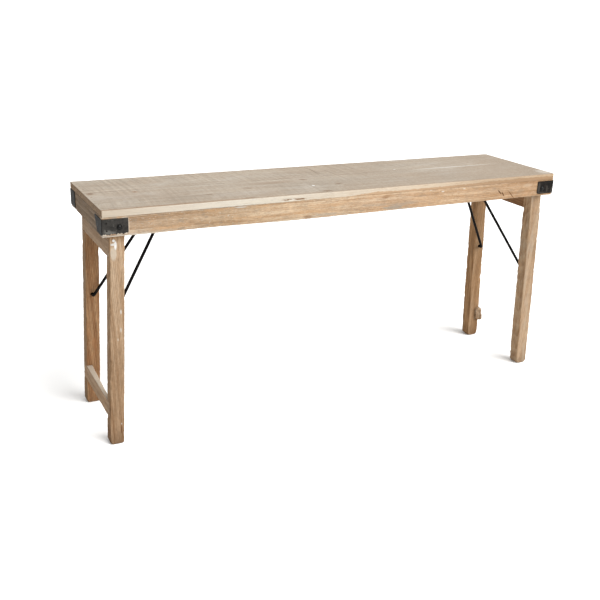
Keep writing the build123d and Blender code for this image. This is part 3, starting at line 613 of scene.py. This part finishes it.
def front_top_wood():
    """Front board: brown strip worn along its front arris, painted front edge and brown left end."""
    g, colour, height, upward = top_timber("front_top_timber", 1.0)
    strip = g.steps(g.add(g.y, g.waver(0.022, (14.0, 60.0, 1.0), 4.0, 0.6)), -0.182, -0.1905)
    strip = g.times(strip, g.steps(g.x, -0.25, -0.55, 0.25, 0.8))
    colour = g.mix(g.times(strip, upward), colour, srgb(168, 140, 114, UP))
    coat = g.patches((30.0, 150.0, 150.0), 5.0, 0.66)
    colour = g.mix(g.front_side, colour, front_edge_paint(g, coat))
    colour = joint_wear(g, colour, coat)
    colour, crack = splinter(g, colour)
    colour = g.mix(g.steps(g.face_x, -0.4, -0.7), colour, end_brown(g))
    g.bump(g.minus(height, g.times(crack, 3.0)), 0.5, 0.0008)
    return g.finish(colour, 0.82, DRY)


def apron_marks(g, colour):
    """Light streaks, grey worn patches, paint remains and a split on the front apron."""
    tone = g.along_table(
        FRONT,
        ((-0.80, 186, 157, 128), (-0.45, 201, 170, 136), (-0.20, 219, 189, 155), (0.05, 226, 194, 160),
         (0.40, 221, 188, 153), (0.80, 199, 160, 122)),
    )
    middle = srgb(209, 178, 145, FRONT)
    colour = g.mix(g.front_side, colour, g.multiply(colour, g.vector_math("DIVIDE", tone, middle[:3])))
    # streaks, then honey flecks, brown specks and pale scratches at the scale of a few millimetres
    fleck = ((85.0, 1.0, 210.0), 5.0, 0.74, 0.0, (0, 0, 0), (2, 0, 6))
    for patches, low, high, share, shown in (
        (((2.0, 1.0, 150.0), 4.0, 0.6, 0.4), 0.56, 0.68, 0.55, (232, 212, 186)),
        (((1.6, 1.0, 110.0), 4.0, 0.6, 0.4, (0, 0, 0), (3, 0, 4)), 0.58, 0.70, 0.5, (168, 128, 92)),
        (fleck, 0.54, 0.66, 0.55, (190, 146, 104)),
        (fleck, 0.42, 0.32, 0.50, (226, 206, 180)),
        (((5.0, 1.0, 42.0), 4.0, 0.6, 0.0, (0, 0, 0), (6, 0, 1)), 0.52, 0.66, 0.5, (214, 168, 120)),
    ):
        colour = g.patchy(colour, g.patches(*patches), low, high, share, srgb(*shown, FRONT))
    dirty = g.patches((26.0, 1.0, 70.0), 5.0, 0.7, shift=(1, 0, 9))
    dirty_share = g.times(g.steps(dirty, 0.53, 0.64), g.steps(g.x, -0.25, -0.55, 0.35, 0.75))
    colour = g.mix(dirty_share, colour, srgb(168, 148, 126, FRONT))
    crumbs = g.patches((150.0, 1.0, 260.0), 3.0, 0.6, shift=(7, 0, 3))
    crumb_share = g.times(g.steps(crumbs, 0.64, 0.70), g.steps(g.x, 0.0, -0.4, 0.25, 0.7))
    colour = g.mix(crumb_share, colour, srgb(232, 224, 212, FRONT))
    return apron_chips(g, apron_lower_edge(g, colour))


def apron_lower_edge(g, colour):
    """Grey worn patches low on the middle, whitish paint left along the bottom edge at the left."""
    grey = g.patches((9.0, 30.0, 55.0), 5.0, 0.68)
    middle_run = g.times(g.steps(g.x, -0.30, -0.02), g.steps(g.x, 0.34, 0.16))
    grey_mask = g.times(g.steps(grey, 0.47, 0.60), g.times(g.steps(g.z, 0.715, 0.692), middle_run))
    colour = g.tint(colour, grey_mask, 0.8, srgb(178, 166, 150, FRONT))
    paint_line = g.add(g.z, g.waver(0.012, (60.0, 60.0, 190.0), 4.0, 0.6))
    paint_mask = g.times(g.steps(paint_line, 0.6885, 0.6835), g.steps(g.x, -0.60, -0.70))
    colour = g.tint(colour, paint_mask, 0.85, srgb(226, 214, 198, FRONT))
    edge_light = g.times(g.steps(g.z, 0.6865, 0.6830), g.steps(grey, 0.40, 0.60))
    return g.tint(colour, edge_light, 0.45, srgb(226, 206, 180, FRONT))


def apron_chips(g, colour):
    """Chips, scratches, a split and brown spots."""
    brown = (140, 98, 62)
    chip = (246, 236, 220)
    for x, z, radius_x, radius_z, edge, turn, shown, share in (
        (-0.7490, 0.711, 0.0016, 0.022, 0.4, 0, (232, 214, 192), 0.7),
        (0.5855, 0.7090, 0.0022, 0.0115, 0.3, 0.85, (84, 52, 30), 0.95),
        (0.6010, 0.7010, 0.0020, 0.0105, 0.3, 0.65, (88, 56, 34), 0.95),
        (0.6380, 0.6970, 0.0017, 0.0210, 0.3, 0.79, (118, 82, 54), 0.8),
        (0.4291, 0.7333, 0.0050, 0.0020, 0.4, 0, chip, 0.65),
        (0.3396, 0.7297, 0.0060, 0.0024, 0.4, 0, chip, 0.75),
        (0.2900, 0.7370, 0.0040, 0.0016, 0.4, 0, chip, 0.6),
        (-0.7900, 0.7370, 0.0080, 0.0030, 0.5, 0, (170, 158, 142), 0.7),
        (-0.7600, 0.7360, 0.0100, 0.0022, 0.5, 0, (222, 208, 190), 0.6),
        (-0.4030, 0.7360, 0.0180, 0.0022, 0.5, 0, (214, 208, 198), 0.8),
        (0.7100, 0.7250, 0.0180, 0.0060, 0.6, 0, (222, 196, 166), 0.6),
        (0.1123, 0.7281, 0.0160, 0.0065, 0.8, 0.25, brown, 0.5),
        (-0.1736, 0.6855, 0.0150, 0.0050, 0.7, 0, brown, 0.6),
        (-0.5600, 0.7050, 0.0120, 0.0030, 0.6, 0, brown, 0.4),
    ):
        colour = small_mark(g, colour, APRON_FACE, (x, z), (radius_x, radius_z), edge, shown, share, 0.5, 350.0, turn)
    return colour


def front_left_leg_marks(g, colour):
    """Faded upper part and white paint marks of the front left leg, with painted shade on its left side and in a
    darker, more orange band at its top, just under the apron.
    """
    heights = ((0.02, 150, 118, 88), (0.15, 168, 137, 106), (0.40, 184, 153, 121), (0.68, 196, 165, 132))
    fade = g.spread(g.z, 0.0, 0.70, [(height, srgb(*shown)) for height, *shown in heights])
    middle = srgb(175, 145, 113)
    colour = g.multiply(colour, g.vector_math("DIVIDE", fade, middle[:3]))
    # painted shade: the left-facing side made darker and warmer
    colour = g.mix(g.left_side, colour, g.multiply(colour, (0.86, 0.80, 0.72)))
    # painted shade: a darker, more orange band at the top of the leg, just under the apron and strap
    colour = g.mix(g.steps(g.z, 0.655, 0.682), colour, g.multiply(colour, (0.88, 0.76, 0.62)))
    white = (246, 244, 238)
    for x, z, radius_x, radius_z, edge, ragged, shown, share in (
        (-0.7917, 0.6240, 0.0090, 0.0200, 0.25, 0.5, (222, 208, 188), 0.75),
        (-0.7900, 0.6637, 0.0036, 0.0040, 0.20, 0.2, (255, 255, 252), 1.0),
        (-0.7850, 0.6490, 0.0036, 0.0130, 0.28, 0.5, (255, 253, 249), 1.0),
        (-0.7910, 0.6520, 0.0080, 0.0036, 0.40, 0.6, white, 0.85),
        (-0.7772, 0.4420, 0.0020, 0.0070, 0.40, 0.8, white, 0.7),
        (-0.7795, 0.3845, 0.0017, 0.0070, 0.40, 0.9, white, 0.6),
        (-0.7895, 0.3536, 0.0022, 0.0040, 0.40, 0.8, (230, 220, 204), 0.5),
        (-0.7915, 0.0500, 0.0014, 0.0140, 0.30, 0.4, (104, 62, 36), 0.9),
        (-0.7900, 0.0700, 0.0016, 0.0030, 0.40, 0.8, white, 0.4),
    ):
        spot = (x, z)
        radii = (radius_x, radius_z)
        colour = small_mark(g, colour, LEG_FACE, spot, radii, edge, shown, share, ragged, 420.0, within=g.front_side)
    return foot_marks(g, colour)


def foot_marks(g, colour):
    """Darker, rubbed feet."""
    low = g.steps(g.add(g.z, g.waver(0.05, (60, 60, 14), 4.0, 0.6)), 0.070, 0.0)
    return g.shade(colour, g.minus(1.0, g.times(low, 0.22)))


def right_leg_marks(g, colour):
    """Greyed, paler outer arris and scuffs of the right legs, with painted light on their left-facing sides."""
    pale = g.patches((70.0, 70.0, 9.0), 5.0, 0.65)
    colour = g.patchy(colour, pale, 0.50, 0.66, 0.5, srgb(206, 188, 166, FRONT))
    grey = g.patches((110.0, 110.0, 22.0), 4.0, 0.65, shift=(5, 3, 1))
    colour = g.patchy(colour, grey, 0.60, 0.70, 0.30, srgb(186, 176, 162, FRONT))
    # painted light: the left-facing side made a little lighter
    colour = g.mix(g.left_side, colour, g.multiply(colour, (1.08, 1.03, 0.96)))
    return foot_marks(g, colour)


def reddish_leg_marks(g, colour):
    """Dark grain streaks and greyed outer side of the reddish rear left leg; its darker tone is partly its wood and
    partly painted shade from the top above it.
    """
    colour = g.tint(colour, g.left_side, 0.8, srgb(116, 95, 72, SIDE))
    streak = g.patches((120.0, 120.0, 6.0), 5.0, 0.65, 0.5, rotation=(0, 0.04, 0))
    colour = g.patchy(colour, streak, 0.54, 0.66, 0.55, srgb(112, 68, 38, FRONT))
    cloud = g.patches((38.0, 38.0, 16.0), 4.0, 0.65, shift=(2, 4, 1))
    colour = g.patchy(colour, cloud, 0.50, 0.66, 0.5, srgb(168, 116, 76, FRONT))
    colour = g.patchy(colour, cloud, 0.44, 0.32, 0.4, srgb(172, 142, 110, FRONT))
    return foot_marks(g, colour)


def grey_top_marks(g, colour):
    """Sun-greyed upper faces of a rail."""
    return g.tint(colour, g.steps(g.face_z, 0.5, 0.8), 0.85, srgb(222, 206, 186, UP))


def left_end_marks(g, colour):
    """Rough brushing up and down, orange flecks, and darker along the top edge just under the top boards, on the left
    end of the apron box.
    """
    brushed = g.patches((1.0, 300.0, 30.0), 4.0, 0.7, rotation=(0.25, 0, 0))
    colour = g.shade(colour, g.steps(brushed, 0.34, 0.66, 0.86, 1.16))
    flecks = g.patches((1.0, 170.0, 170.0), 3.0, 0.6, shift=(2, 1, 5))
    colour = g.patchy(colour, flecks, 0.66, 0.72, 0.6, srgb(170, 116, 70, SIDE))
    # darker along the top edge, just under the top boards
    return g.shade(colour, g.steps(g.z, 0.738, 0.728, 0.86, 1.0))


def rear_right_leg_marks(g, colour):
    """Warm brown inner side with darker streaks."""
    streak = g.patches((120.0, 120.0, 6.0), 5.0, 0.65, 0.5)
    warm = g.mix(g.steps(streak, 0.38, 0.62), srgb(152, 118, 84, SIDE), srgb(108, 78, 50, SIDE))
    return foot_marks(g, g.tint(colour, g.left_side, 0.8, warm))


# ---- iron ----


def dark_iron(name, light, dark, pale, roughness, scuff=None, scuffs=(), specular=0.1, paint_top=None, end_shade=1.0):
    """Blackened iron, pitted, rubbed brighter in places; old paint laps over it up to the height paint_top; end_shade
    is painted shade on the faces that face -X.
    """
    g = Graph(name)
    pitted = g.noise(g.place, 420.0, 5.0, 0.68)
    broad = g.noise(g.place, 60.0, 4.0, 0.6)
    tone = g.add(g.times(pitted, 0.45), g.times(broad, 0.55))
    colour = g.ramp(g.steps(tone, 0.38, 0.64), [(0.0, srgb(*dark, light)), (1.0, srgb(*pale, light))])
    rust = g.noise(g.mapped(g.place, shift=(3, 7, 1)), 150.0, 4.0, 0.65)
    colour = g.patchy(colour, rust, 0.60, 0.72, 0.35, srgb(70, 56, 44, FRONT))
    if scuff is not None:
        bright = srgb(*scuff, light)
        rubbed = g.patches((90.0, 90.0, 140.0), 5.0, 0.7, shift=(1, 2, 5))
        colour = g.patchy(colour, rubbed, 0.56, 0.68, 0.6, bright)
        for x, z, radius_x, radius_z, share in scuffs:
            patch = g.blob((x, -0.199, z), (radius_x, 0.02, radius_z), 0.5, 0.9, 260.0)
            colour = g.tint(colour, patch, share, bright)
    if paint_top is not None:
        rim = g.waver(0.018, (150.0, 110.0, 60.0), 5.0, 0.74)
        lap = g.steps(g.add(g.z, rim), paint_top, paint_top - 0.0012)
        paint_tones = [(0.0, srgb(176, 138, 104, FRONT)), (1.0, srgb(226, 212, 192, FRONT))]
        old_paint = g.ramp(g.steps(broad, 0.42, 0.56), paint_tones)
        colour = g.mix(g.times(lap, g.steps(g.face_y, -0.3, -0.6)), colour, old_paint)
    # painted shade on the left-facing faces, such as the end leaf of the front left strap
    if end_shade != 1.0:
        colour = g.shade(colour, g.steps(g.face_x, -0.35, -0.75, 1.0, end_shade))
    g.bump(g.add(pitted, g.times(broad, 0.6)), 0.55, 0.0006)
    return g.finish(colour, g.steps(tone, 0.3, 0.7, roughness - 0.10, roughness + 0.12), specular)


# ---- the table's timber ----

FINE = 0.0035
TOP_END_SKEW = (-0.0028, -0.0109)
SKEW_REACH = 0.15
HOUSING_GAP = 0.0003
BOLT_HOLE_RADIUS = 0.0042
SOCKET_RADIUS = 0.0063
FOOT_ARRIS = 0.013
FRAMES = {-1: "left_leg_frame", 1: "right_leg_frame"}

WORLD_X = Matrix(((0, 0, 1, 0), (1, 0, 0, 0), (0, 1, 0, 0), (0, 0, 0, 1)))
WORLD_Y = Matrix(((1, 0, 0, 0), (0, 0, 1, 0), (0, 1, 0, 0), (0, 0, 0, 1)))


def leg_axes(side):
    """Local frame of one leg pair: X across the legs, Y across the table, Z up the legs, origin at the pivot."""
    joint = joints["left_leg_fold" if side < 0 else "right_leg_fold"]
    across = Vector((cos(SPLAY[side]), 0, side * sin(SPLAY[side])))
    upward = Vector((-side * sin(SPLAY[side]), 0, cos(SPLAY[side])))
    matrix = Matrix((across, Vector((0, 1, 0)), upward)).transposed().to_4x4()
    matrix.translation = Vector((joint["pos_m"][0], 0, joint["pos_m"][2]))
    return matrix


def local_points(node, matrix):
    """Corners of a CAD node's mesh in a local frame."""
    inverse = matrix.inverted()
    return np.array([inverse @ vertex.co for vertex in nodes[node].data.vertices])


def local_box(node, matrix):
    """Lowest and highest corner of a CAD node in a local frame."""
    points = local_points(node, matrix)
    return points.min(axis=0), points.max(axis=0)


def constant_bounds(stations, low, high):
    return np.tile((low[0], high[0], low[1], high[1]), (len(stations), 1)).astype(float)


def plank(node, matrix, radii, end_radius, seed, material, wear=0.5, chips=8, wave=0.0005, sides=(10, 6), corners=(),
          taper=None, end_skew=(0.0, 0.0), body="table_top", pitch=FINE):
    """A worn board or rail in place of a CAD node.

    corners lists (column of bounds, at the start?, radius) of ends rounded in plan; taper may reshape the bounds;
    end_skew is how far each end leans back per metre of local X, for ends cut out of square."""
    low, high = local_box(node, matrix)
    low[2] -= end_skew[0] * high[0]
    high[2] -= end_skew[1] * low[0]
    stations = spread_stations(low[2], high[2], pitch, end_radius)
    for _, at_start, radius in corners:
        inner = np.linspace(0.0, radius, 9)
        extra = low[2] + inner if at_start else high[2] - inner
        stations = np.unique(np.concatenate([stations, extra]).round(7))
    bounds = constant_bounds(stations, low, high)
    inset = rounding(stations - low[2], end_radius) + rounding(high[2] - stations, end_radius)
    bounds += inset[:, None] * np.array(INWARD)
    for column, at_start, radius in corners:
        distance = stations - low[2] if at_start else high[2] - stations
        bounds[:, column] += INWARD[column] * np.maximum(rounding(distance, radius) - inset, 0.0)
    if taper is not None:
        bounds = taper(stations, bounds)
    skew = end_skew[0] * np.clip(1.0 - (stations - low[2]) / SKEW_REACH, 0.0, 1.0)
    skew += end_skew[1] * np.clip(1.0 - (high[2] - stations) / SKEW_REACH, 0.0, 1.0)
    piece = worn_bar("worn_" + node, matrix, stations, bounds, radii, seed, wear, chips, wave, sides, skew)
    stand_for(piece, node, body, material)


def leg_piece(node, side, face, inner_radius, seed, material, rails, brace, swell=()):
    """A worn leg: round head, level foot with rubbed corners, housings for its rails, socket and bolt hole.

    swell lists (column of bounds, start below the pivot, end, amount): extra timber that grows down the leg."""
    matrix = leg_axes(side)
    low, high = local_box(node, matrix)
    half = (high[0] - low[0]) / 2
    foot = -matrix.translation.z / cos(SPLAY[side])
    head = half * np.sin(np.linspace(0.06, pi / 2 - 0.03, 12))
    near_foot = foot + np.concatenate([np.linspace(0.0, 0.016, 15), np.linspace(0.02, 0.06, 8)])
    stations = np.unique(np.concatenate([near_foot, np.arange(foot + 0.065, -0.002, FINE), head]).round(7))
    bounds = constant_bounds(stations, low, high)
    head_half = np.sqrt(np.maximum(half**2 - np.clip(stations, 0.0, None) ** 2, 1e-8))
    bounds[:, 0] = -head_half
    bounds[:, 1] = head_half
    for column, start, end, amount in swell:
        share = np.clip((-stations - start) / (end - start), 0.0, 1.0)
        bounds[:, column] -= INWARD[column] * amount * share
    distance = stations - foot
    foot_radii = (FOOT_ARRIS, inner_radius) if side < 0 else (inner_radius, FOOT_ARRIS)
    for column, radius in enumerate((*foot_radii, 0.005, 0.005)):
        bounds[:, column] += INWARD[column] * rounding(distance, radius)
    fade = np.clip(1.0 - distance / 0.06, 0.0, 1.0)
    skew = -side * tan(SPLAY[side]) * fade * fade * (3 - 2 * fade)
    piece = worn_bar(
        "worn_" + node, matrix, stations, bounds, (0.0034, 0.0030, 0.0034, 0.0034), seed, 0.5, 16, 0.0007, (7, 7),
        skew, 0.002 if side < 0 else 0.004,
    )
    carve(piece, leg_cutters(rails, brace, matrix, side, face, low, high))
    stand_for(piece, node, FRAMES[side], material)


def leg_cutters(rails, brace, matrix, side, face, low, high):
    """Housings of the rails, the bolt hole and the hook's socket of one leg."""
    half = (high[0] - low[0]) / 2
    inner_y = low[1] if face > 0 else high[1]
    cutters = []
    for rail in rails:
        rail_low, rail_high = local_box(rail, matrix)
        seat_x = rail_low[0] if side > 0 else rail_high[0]
        rail_end = rail_high[1] if face > 0 else rail_low[1]
        deep = sorted((side * (half + 0.004), seat_x))
        wide = sorted((inner_y - face * 0.004, rail_end))
        level = (rail_low[2] - HOUSING_GAP, rail_high[2] + HOUSING_GAP)
        outline = [(deep[0], level[0]), (deep[1], level[0]), (deep[1], level[1]), (deep[0], level[1])]
        cutters.append(prism_cutter(matrix, outline, *wide))
    cutters.append(prism_cutter(matrix, hole_outline(0.0, BOLT_HOLE_RADIUS), low[1] - 0.003, high[1] + 0.003))
    points = local_points(brace, matrix)
    hook = points[face * points[:, 1] > (face * points[:, 1]).max() - 0.0005]
    height = (hook[:, 2].min() + hook[:, 2].max()) / 2
    socket = sorted((inner_y - face * 0.003, inner_y + face * 0.016))
    cutters.append(prism_cutter(matrix, hole_outline(height, SOCKET_RADIUS), *socket))
    return cutters


# name of each wood: grain, light, dark, middle and pale tone, seed, tilt of the grain, share of the growth
# rings, contrast, marks
LEAN = SPLAY[-1], -SPLAY[1]
WOODS = {
    "apron_front": (ALONG_X, FRONT, ((180, 143, 107), (209, 178, 145), (224, 198, 168)), 5, 0, 0.22, 1, apron_marks),
    "apron_rear": (ALONG_X, UP, ((150, 118, 86), (178, 146, 112), (196, 168, 136)), 6),
    "left_end": (ALONG_Y, SIDE, ((78, 65, 52), (102, 86, 69), (124, 107, 89)), 9, 0, 0.08, 0.7, left_end_marks),
    "right_end": (ALONG_Y, UP, ((140, 110, 82), (170, 140, 110), (190, 164, 134)), 10),
    "under": (ALONG_Y, UP, ((120, 90, 64), (150, 118, 88), (168, 138, 108)), 11),
    "front_left_leg": (
        ALONG_Z, FRONT, ((150, 116, 84), (180, 150, 118), (204, 178, 148)), 13, LEAN[0], 0.3, 0.9, front_left_leg_marks
    ),
    # the rear left leg's darker, redder tones are partly its wood and partly painted shade cast by the top
    "rear_left_leg": (
        ALONG_Z, FRONT, ((142, 96, 62), (182, 138, 98), (204, 166, 126)), 14, LEAN[0], 0.35, 1, reddish_leg_marks
    ),
    "front_right_leg": (
        ALONG_Z, FRONT, ((164, 130, 97), (197, 166, 134), (214, 189, 160)), 17, LEAN[1], 0.3, 0.9, right_leg_marks
    ),
    "rear_right_leg": (
        ALONG_Z, FRONT, ((142, 102, 66), (176, 140, 104), (198, 166, 132)), 18, LEAN[1], 0.2, 0.9, rear_right_leg_marks
    ),
    "left_rail": (ALONG_Y, SIDE, ((108, 87, 66), (124, 103, 82), (138, 118, 97)), 21, 0, 0.08, 0.7, grey_top_marks),
    "stretcher": (ALONG_Y, SIDE, ((106, 82, 60), (134, 110, 86), (154, 131, 107)), 23, 0, 0.12, 0.8, grey_top_marks),
    "right_rail": (ALONG_Y, SIDE, ((100, 68, 44), (122, 90, 62), (136, 104, 76)), 25, 0, 0.03, 0.7),
    "stub": (ALONG_Y, UP, ((140, 110, 82), (176, 148, 120), (206, 182, 154)), 27),
}
woods = {name: scuffed_wood(name + "_timber", *values) for name, values in WOODS.items()}


# ---- top and apron box ----
def uneven_lower_edge(stations, bounds):
    """The lower edge of the front apron sags a little left of the middle and rises towards its ends."""
    run = (-0.66, -0.56, -0.42, -0.27, -0.13, 0.02, 0.17, 0.35, 0.55, 0.75)
    rise = (0.0, 0.0006, 0.0, -0.0024, -0.0022, -0.0008, -0.0001, 0.0008, 0.0008, 0.0014)
    shaped = bounds.copy()
    shaped[:, 2] += np.interp(stations, run, rise)
    return shaped


plank(
    "top_board_front", WORLD_X, (0.0006, 0.0007, 0.0030, 0.0005), 0.0022, 101, front_top_wood(), 0.6, 26, 0.0004,
    (6, 26), ((0, True, 0.004), (0, False, 0.011)), None, TOP_END_SKEW,
)
plank(
    "top_board_rear", WORLD_X, (0.0016, 0.0012, 0.0007, 0.0006), 0.0022, 102, rear_top_wood(), 0.6, 20, 0.0004,
    (6, 22), ((1, True, 0.004), (1, False, 0.011)), None, TOP_END_SKEW,
)
LOWER_CORNERS = ((2, True, 0.0025), (2, False, 0.009))
plank(
    "front_apron", WORLD_X, (0.0022, 0.0005, 0.0005, 0.0026), 0.0012, 103, woods["apron_front"], 0.6, 24,
    corners=LOWER_CORNERS, taper=uneven_lower_edge,
)
plank(
    "rear_apron", WORLD_X, (0.0026, 0.0005, 0.0005, 0.0022), 0.0012, 104, woods["apron_rear"], 0.6, 18,
    corners=LOWER_CORNERS,
)
plank("left_end_apron", WORLD_Y, (0.0020, 0.0005, 0.0005, 0.0024), 0.0004, 105, woods["left_end"])
plank("right_end_apron", WORLD_Y, (0.0024, 0.0005, 0.0005, 0.0020), 0.0004, 106, woods["right_end"])
plank("centre_rail", WORLD_Y, (0.0024, 0.0005, 0.0005, 0.0024), 0.0004, 107, woods["under"], 0.4, 4, 0.0004, (8, 8))


# ---- leg frames ----
def stretcher_taper(stations, bounds):
    """The inner face comes in towards the front, as on the CAD stretcher."""
    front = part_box("left_front_leg")[1].y
    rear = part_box("left_rear_leg")[0].y
    share = np.clip((rear - stations) / (rear - front), 0.0, 1.0)
    shaved = bounds.copy()
    shaved[:, 1] -= 0.0085 * np.where(stations < front - 0.0005, 0.0, share)
    return shaved


def frame_rail(node, side, radii, seed, material, wear=0.5, chips=8, taper=None):
    """A rail across a leg frame."""
    across = leg_axes(side) @ Matrix(((1, 0, 0, 0), (0, 0, 1, 0), (0, 1, 0, 0), (0, 0, 0, 1)))
    plank(
        node, across, radii, 0.0004, seed, material, wear, chips, 0.0004, (6, 5), taper=taper,
        body=FRAMES[side], pitch=0.003,
    )


left_rails = ("left_upper_rail", "left_stretcher")
front_right_rails = ("right_upper_rail", "right_front_stretcher_stub")
rear_right_rails = ("right_upper_rail", "right_rear_stretcher_stub")
leg_piece("left_front_leg", -1, -1, 0.005, 111, woods["front_left_leg"], left_rails, "left_brace")
leg_piece(
    "left_rear_leg", -1, 1, 0.005, 112, woods["rear_left_leg"], left_rails, "left_brace",
    ((1, 0.05, 0.25, 0.0016),),
)
leg_piece(
    "right_front_leg", 1, -1, 0.012, 113, woods["front_right_leg"], front_right_rails, "right_brace",
    ((1, 0.04, 0.14, 0.0022),),
)
leg_piece(
    "right_rear_leg", 1, 1, 0.012, 114, woods["rear_right_leg"], rear_right_rails, "right_brace",
    ((0, 0.08, 0.50, 0.0042),),
)
frame_rail("left_upper_rail", -1, (0.0016, 0.0016, 0.0018, 0.0020), 121, woods["left_rail"])
frame_rail("left_stretcher", -1, (0.0020, 0.0020, 0.0024, 0.0020), 122, woods["stretcher"], 0.6, 10, stretcher_taper)
frame_rail("right_upper_rail", 1, (0.0018, 0.0020, 0.0016, 0.0016), 123, woods["right_rail"])


# ---- pieces shown as they are ----


def paint(node_names, material):
    for node_name in node_names:
        mesh = nodes[node_name].data
        mesh.materials.clear()
        mesh.materials.append(material)


paint(["right_front_stretcher_stub", "right_rear_stretcher_stub"], woods["stub"])
# its last value, 0.29, is painted shade on the strap's left-facing end leaf
left_front_iron = dark_iron(
    "left_front_strap_iron", FRONT, (41, 39, 36), (70, 67, 63), 0.66, (116, 113, 107),
    ((-0.812, 0.697, 0.010, 0.006, 0.8), (-0.800, 0.694, 0.012, 0.004, 0.7)), 0.12, 0.6900, 0.29,
)
left_rear_iron = dark_iron("left_rear_strap_iron", FRONT, (34, 33, 31), (60, 57, 53), 0.68)
iron = dark_iron(
    "strap_iron", FRONT, (16, 13, 11), (46, 40, 35), 0.66, (88, 82, 75),
    ((0.762, 0.712, 0.006, 0.020, 0.65), (0.800, 0.706, 0.004, 0.012, 0.5), (0.821, 0.700, 0.003, 0.010, 0.6),
     (0.779, 0.694, 0.016, 0.002, 0.6)), 0.08,
)
bolt_iron = dark_iron("bolt_iron", FRONT, (6, 5, 5), (24, 22, 20), 0.38, specular=0.16)
rod = dark_iron("rod_iron", FRONT, (9, 7, 6), (24, 20, 18), 0.55, specular=0.05)
head = dark_iron("nail_heads", UP, (150, 128, 106), (180, 160, 138), 0.65)
frame_head = dark_iron("frame_nail_heads", SIDE, (96, 74, 56), (124, 100, 78), 0.65)
paint(["left_front_strap"], left_front_iron)
paint(["left_rear_strap"], left_rear_iron)
paint(["right_front_strap", "right_rear_strap", "strap_nails"], iron)
paint(["pivot_bolts", "pivot_washers", "pivot_nuts"], bolt_iron)
paint(["left_brace", "right_brace", "brace_staples"], rod)
paint(["board_nails"], head)
paint(["staple_nails", "left_frame_nails", "right_frame_nails"], frame_head)


# ---- floor, light and camera ----


def add_floor():
    mesh = bpy.data.meshes.new("floor")
    reach = 600.0
    corners = [(-reach, -reach, 0), (reach, -reach, 0), (reach, reach, 0), (-reach, reach, 0)]
    mesh.from_pydata(corners, [], [(0, 1, 2, 3)])
    floor = bpy.data.objects.new("floor", mesh)
    bpy.context.scene.collection.objects.link(floor)
    mesh.materials.append(Graph("pale_floor").finish(srgb(250, 250, 249), 0.95, 0.0))


def add_sun(name, heading, height, spread, power):
    """Broad soft light from a heading (degrees from +X towards +Y) and a height above the floor."""
    data = bpy.data.lights.new(name, "SUN")
    data.energy = power
    data.angle = radians(spread)
    light = bpy.data.objects.new(name, data)
    level = cos(radians(height))
    toward = Vector((cos(radians(heading)) * level, sin(radians(heading)) * level, sin(radians(height))))
    light.rotation_euler = toward.to_track_quat("Z", "Y").to_euler()
    light.location = toward * 3.0
    bpy.context.scene.collection.objects.link(light)


def add_world():
    world = bpy.data.worlds.new("studio")
    bpy.context.scene.world = world
    world.use_nodes = True
    background = world.node_tree.nodes["Background"]
    background.inputs["Color"].default_value = (1.0, 1.0, 1.0, 1.0)
    background.inputs["Strength"].default_value = 0.72


def add_camera():
    """Camera of a square picture, from its place, heading, tilt and roll."""
    yaw, pitch, roll = 0.4733, 0.3556, 0.0355
    focal_pixels = 847.24
    picture_pixels = 600.0
    forward = Vector((sin(yaw) * cos(pitch), cos(yaw) * cos(pitch), -sin(pitch)))
    level = Vector((cos(yaw), -sin(yaw), 0.0))
    upright = level.cross(forward)
    right = cos(roll) * level + sin(roll) * upright
    up = -sin(roll) * level + cos(roll) * upright
    data = bpy.data.cameras.new("camera")
    data.sensor_width = 36.0
    data.lens = data.sensor_width * focal_pixels / picture_pixels
    data.clip_end = 2000.0
    camera = bpy.data.objects.new("camera", data)
    turn = Matrix((right, up, -forward)).transposed()
    camera.matrix_world = Matrix.Translation((-1.3730, -2.5041, 1.3707)) @ turn.to_4x4()
    bpy.context.scene.collection.objects.link(camera)
    bpy.context.scene.camera = camera


add_floor()
add_world()
add_sun("key", -58.0, 40.0, 55.0, 5.0)
add_camera()
bpy.context.scene.view_settings.view_transform = "Standard"
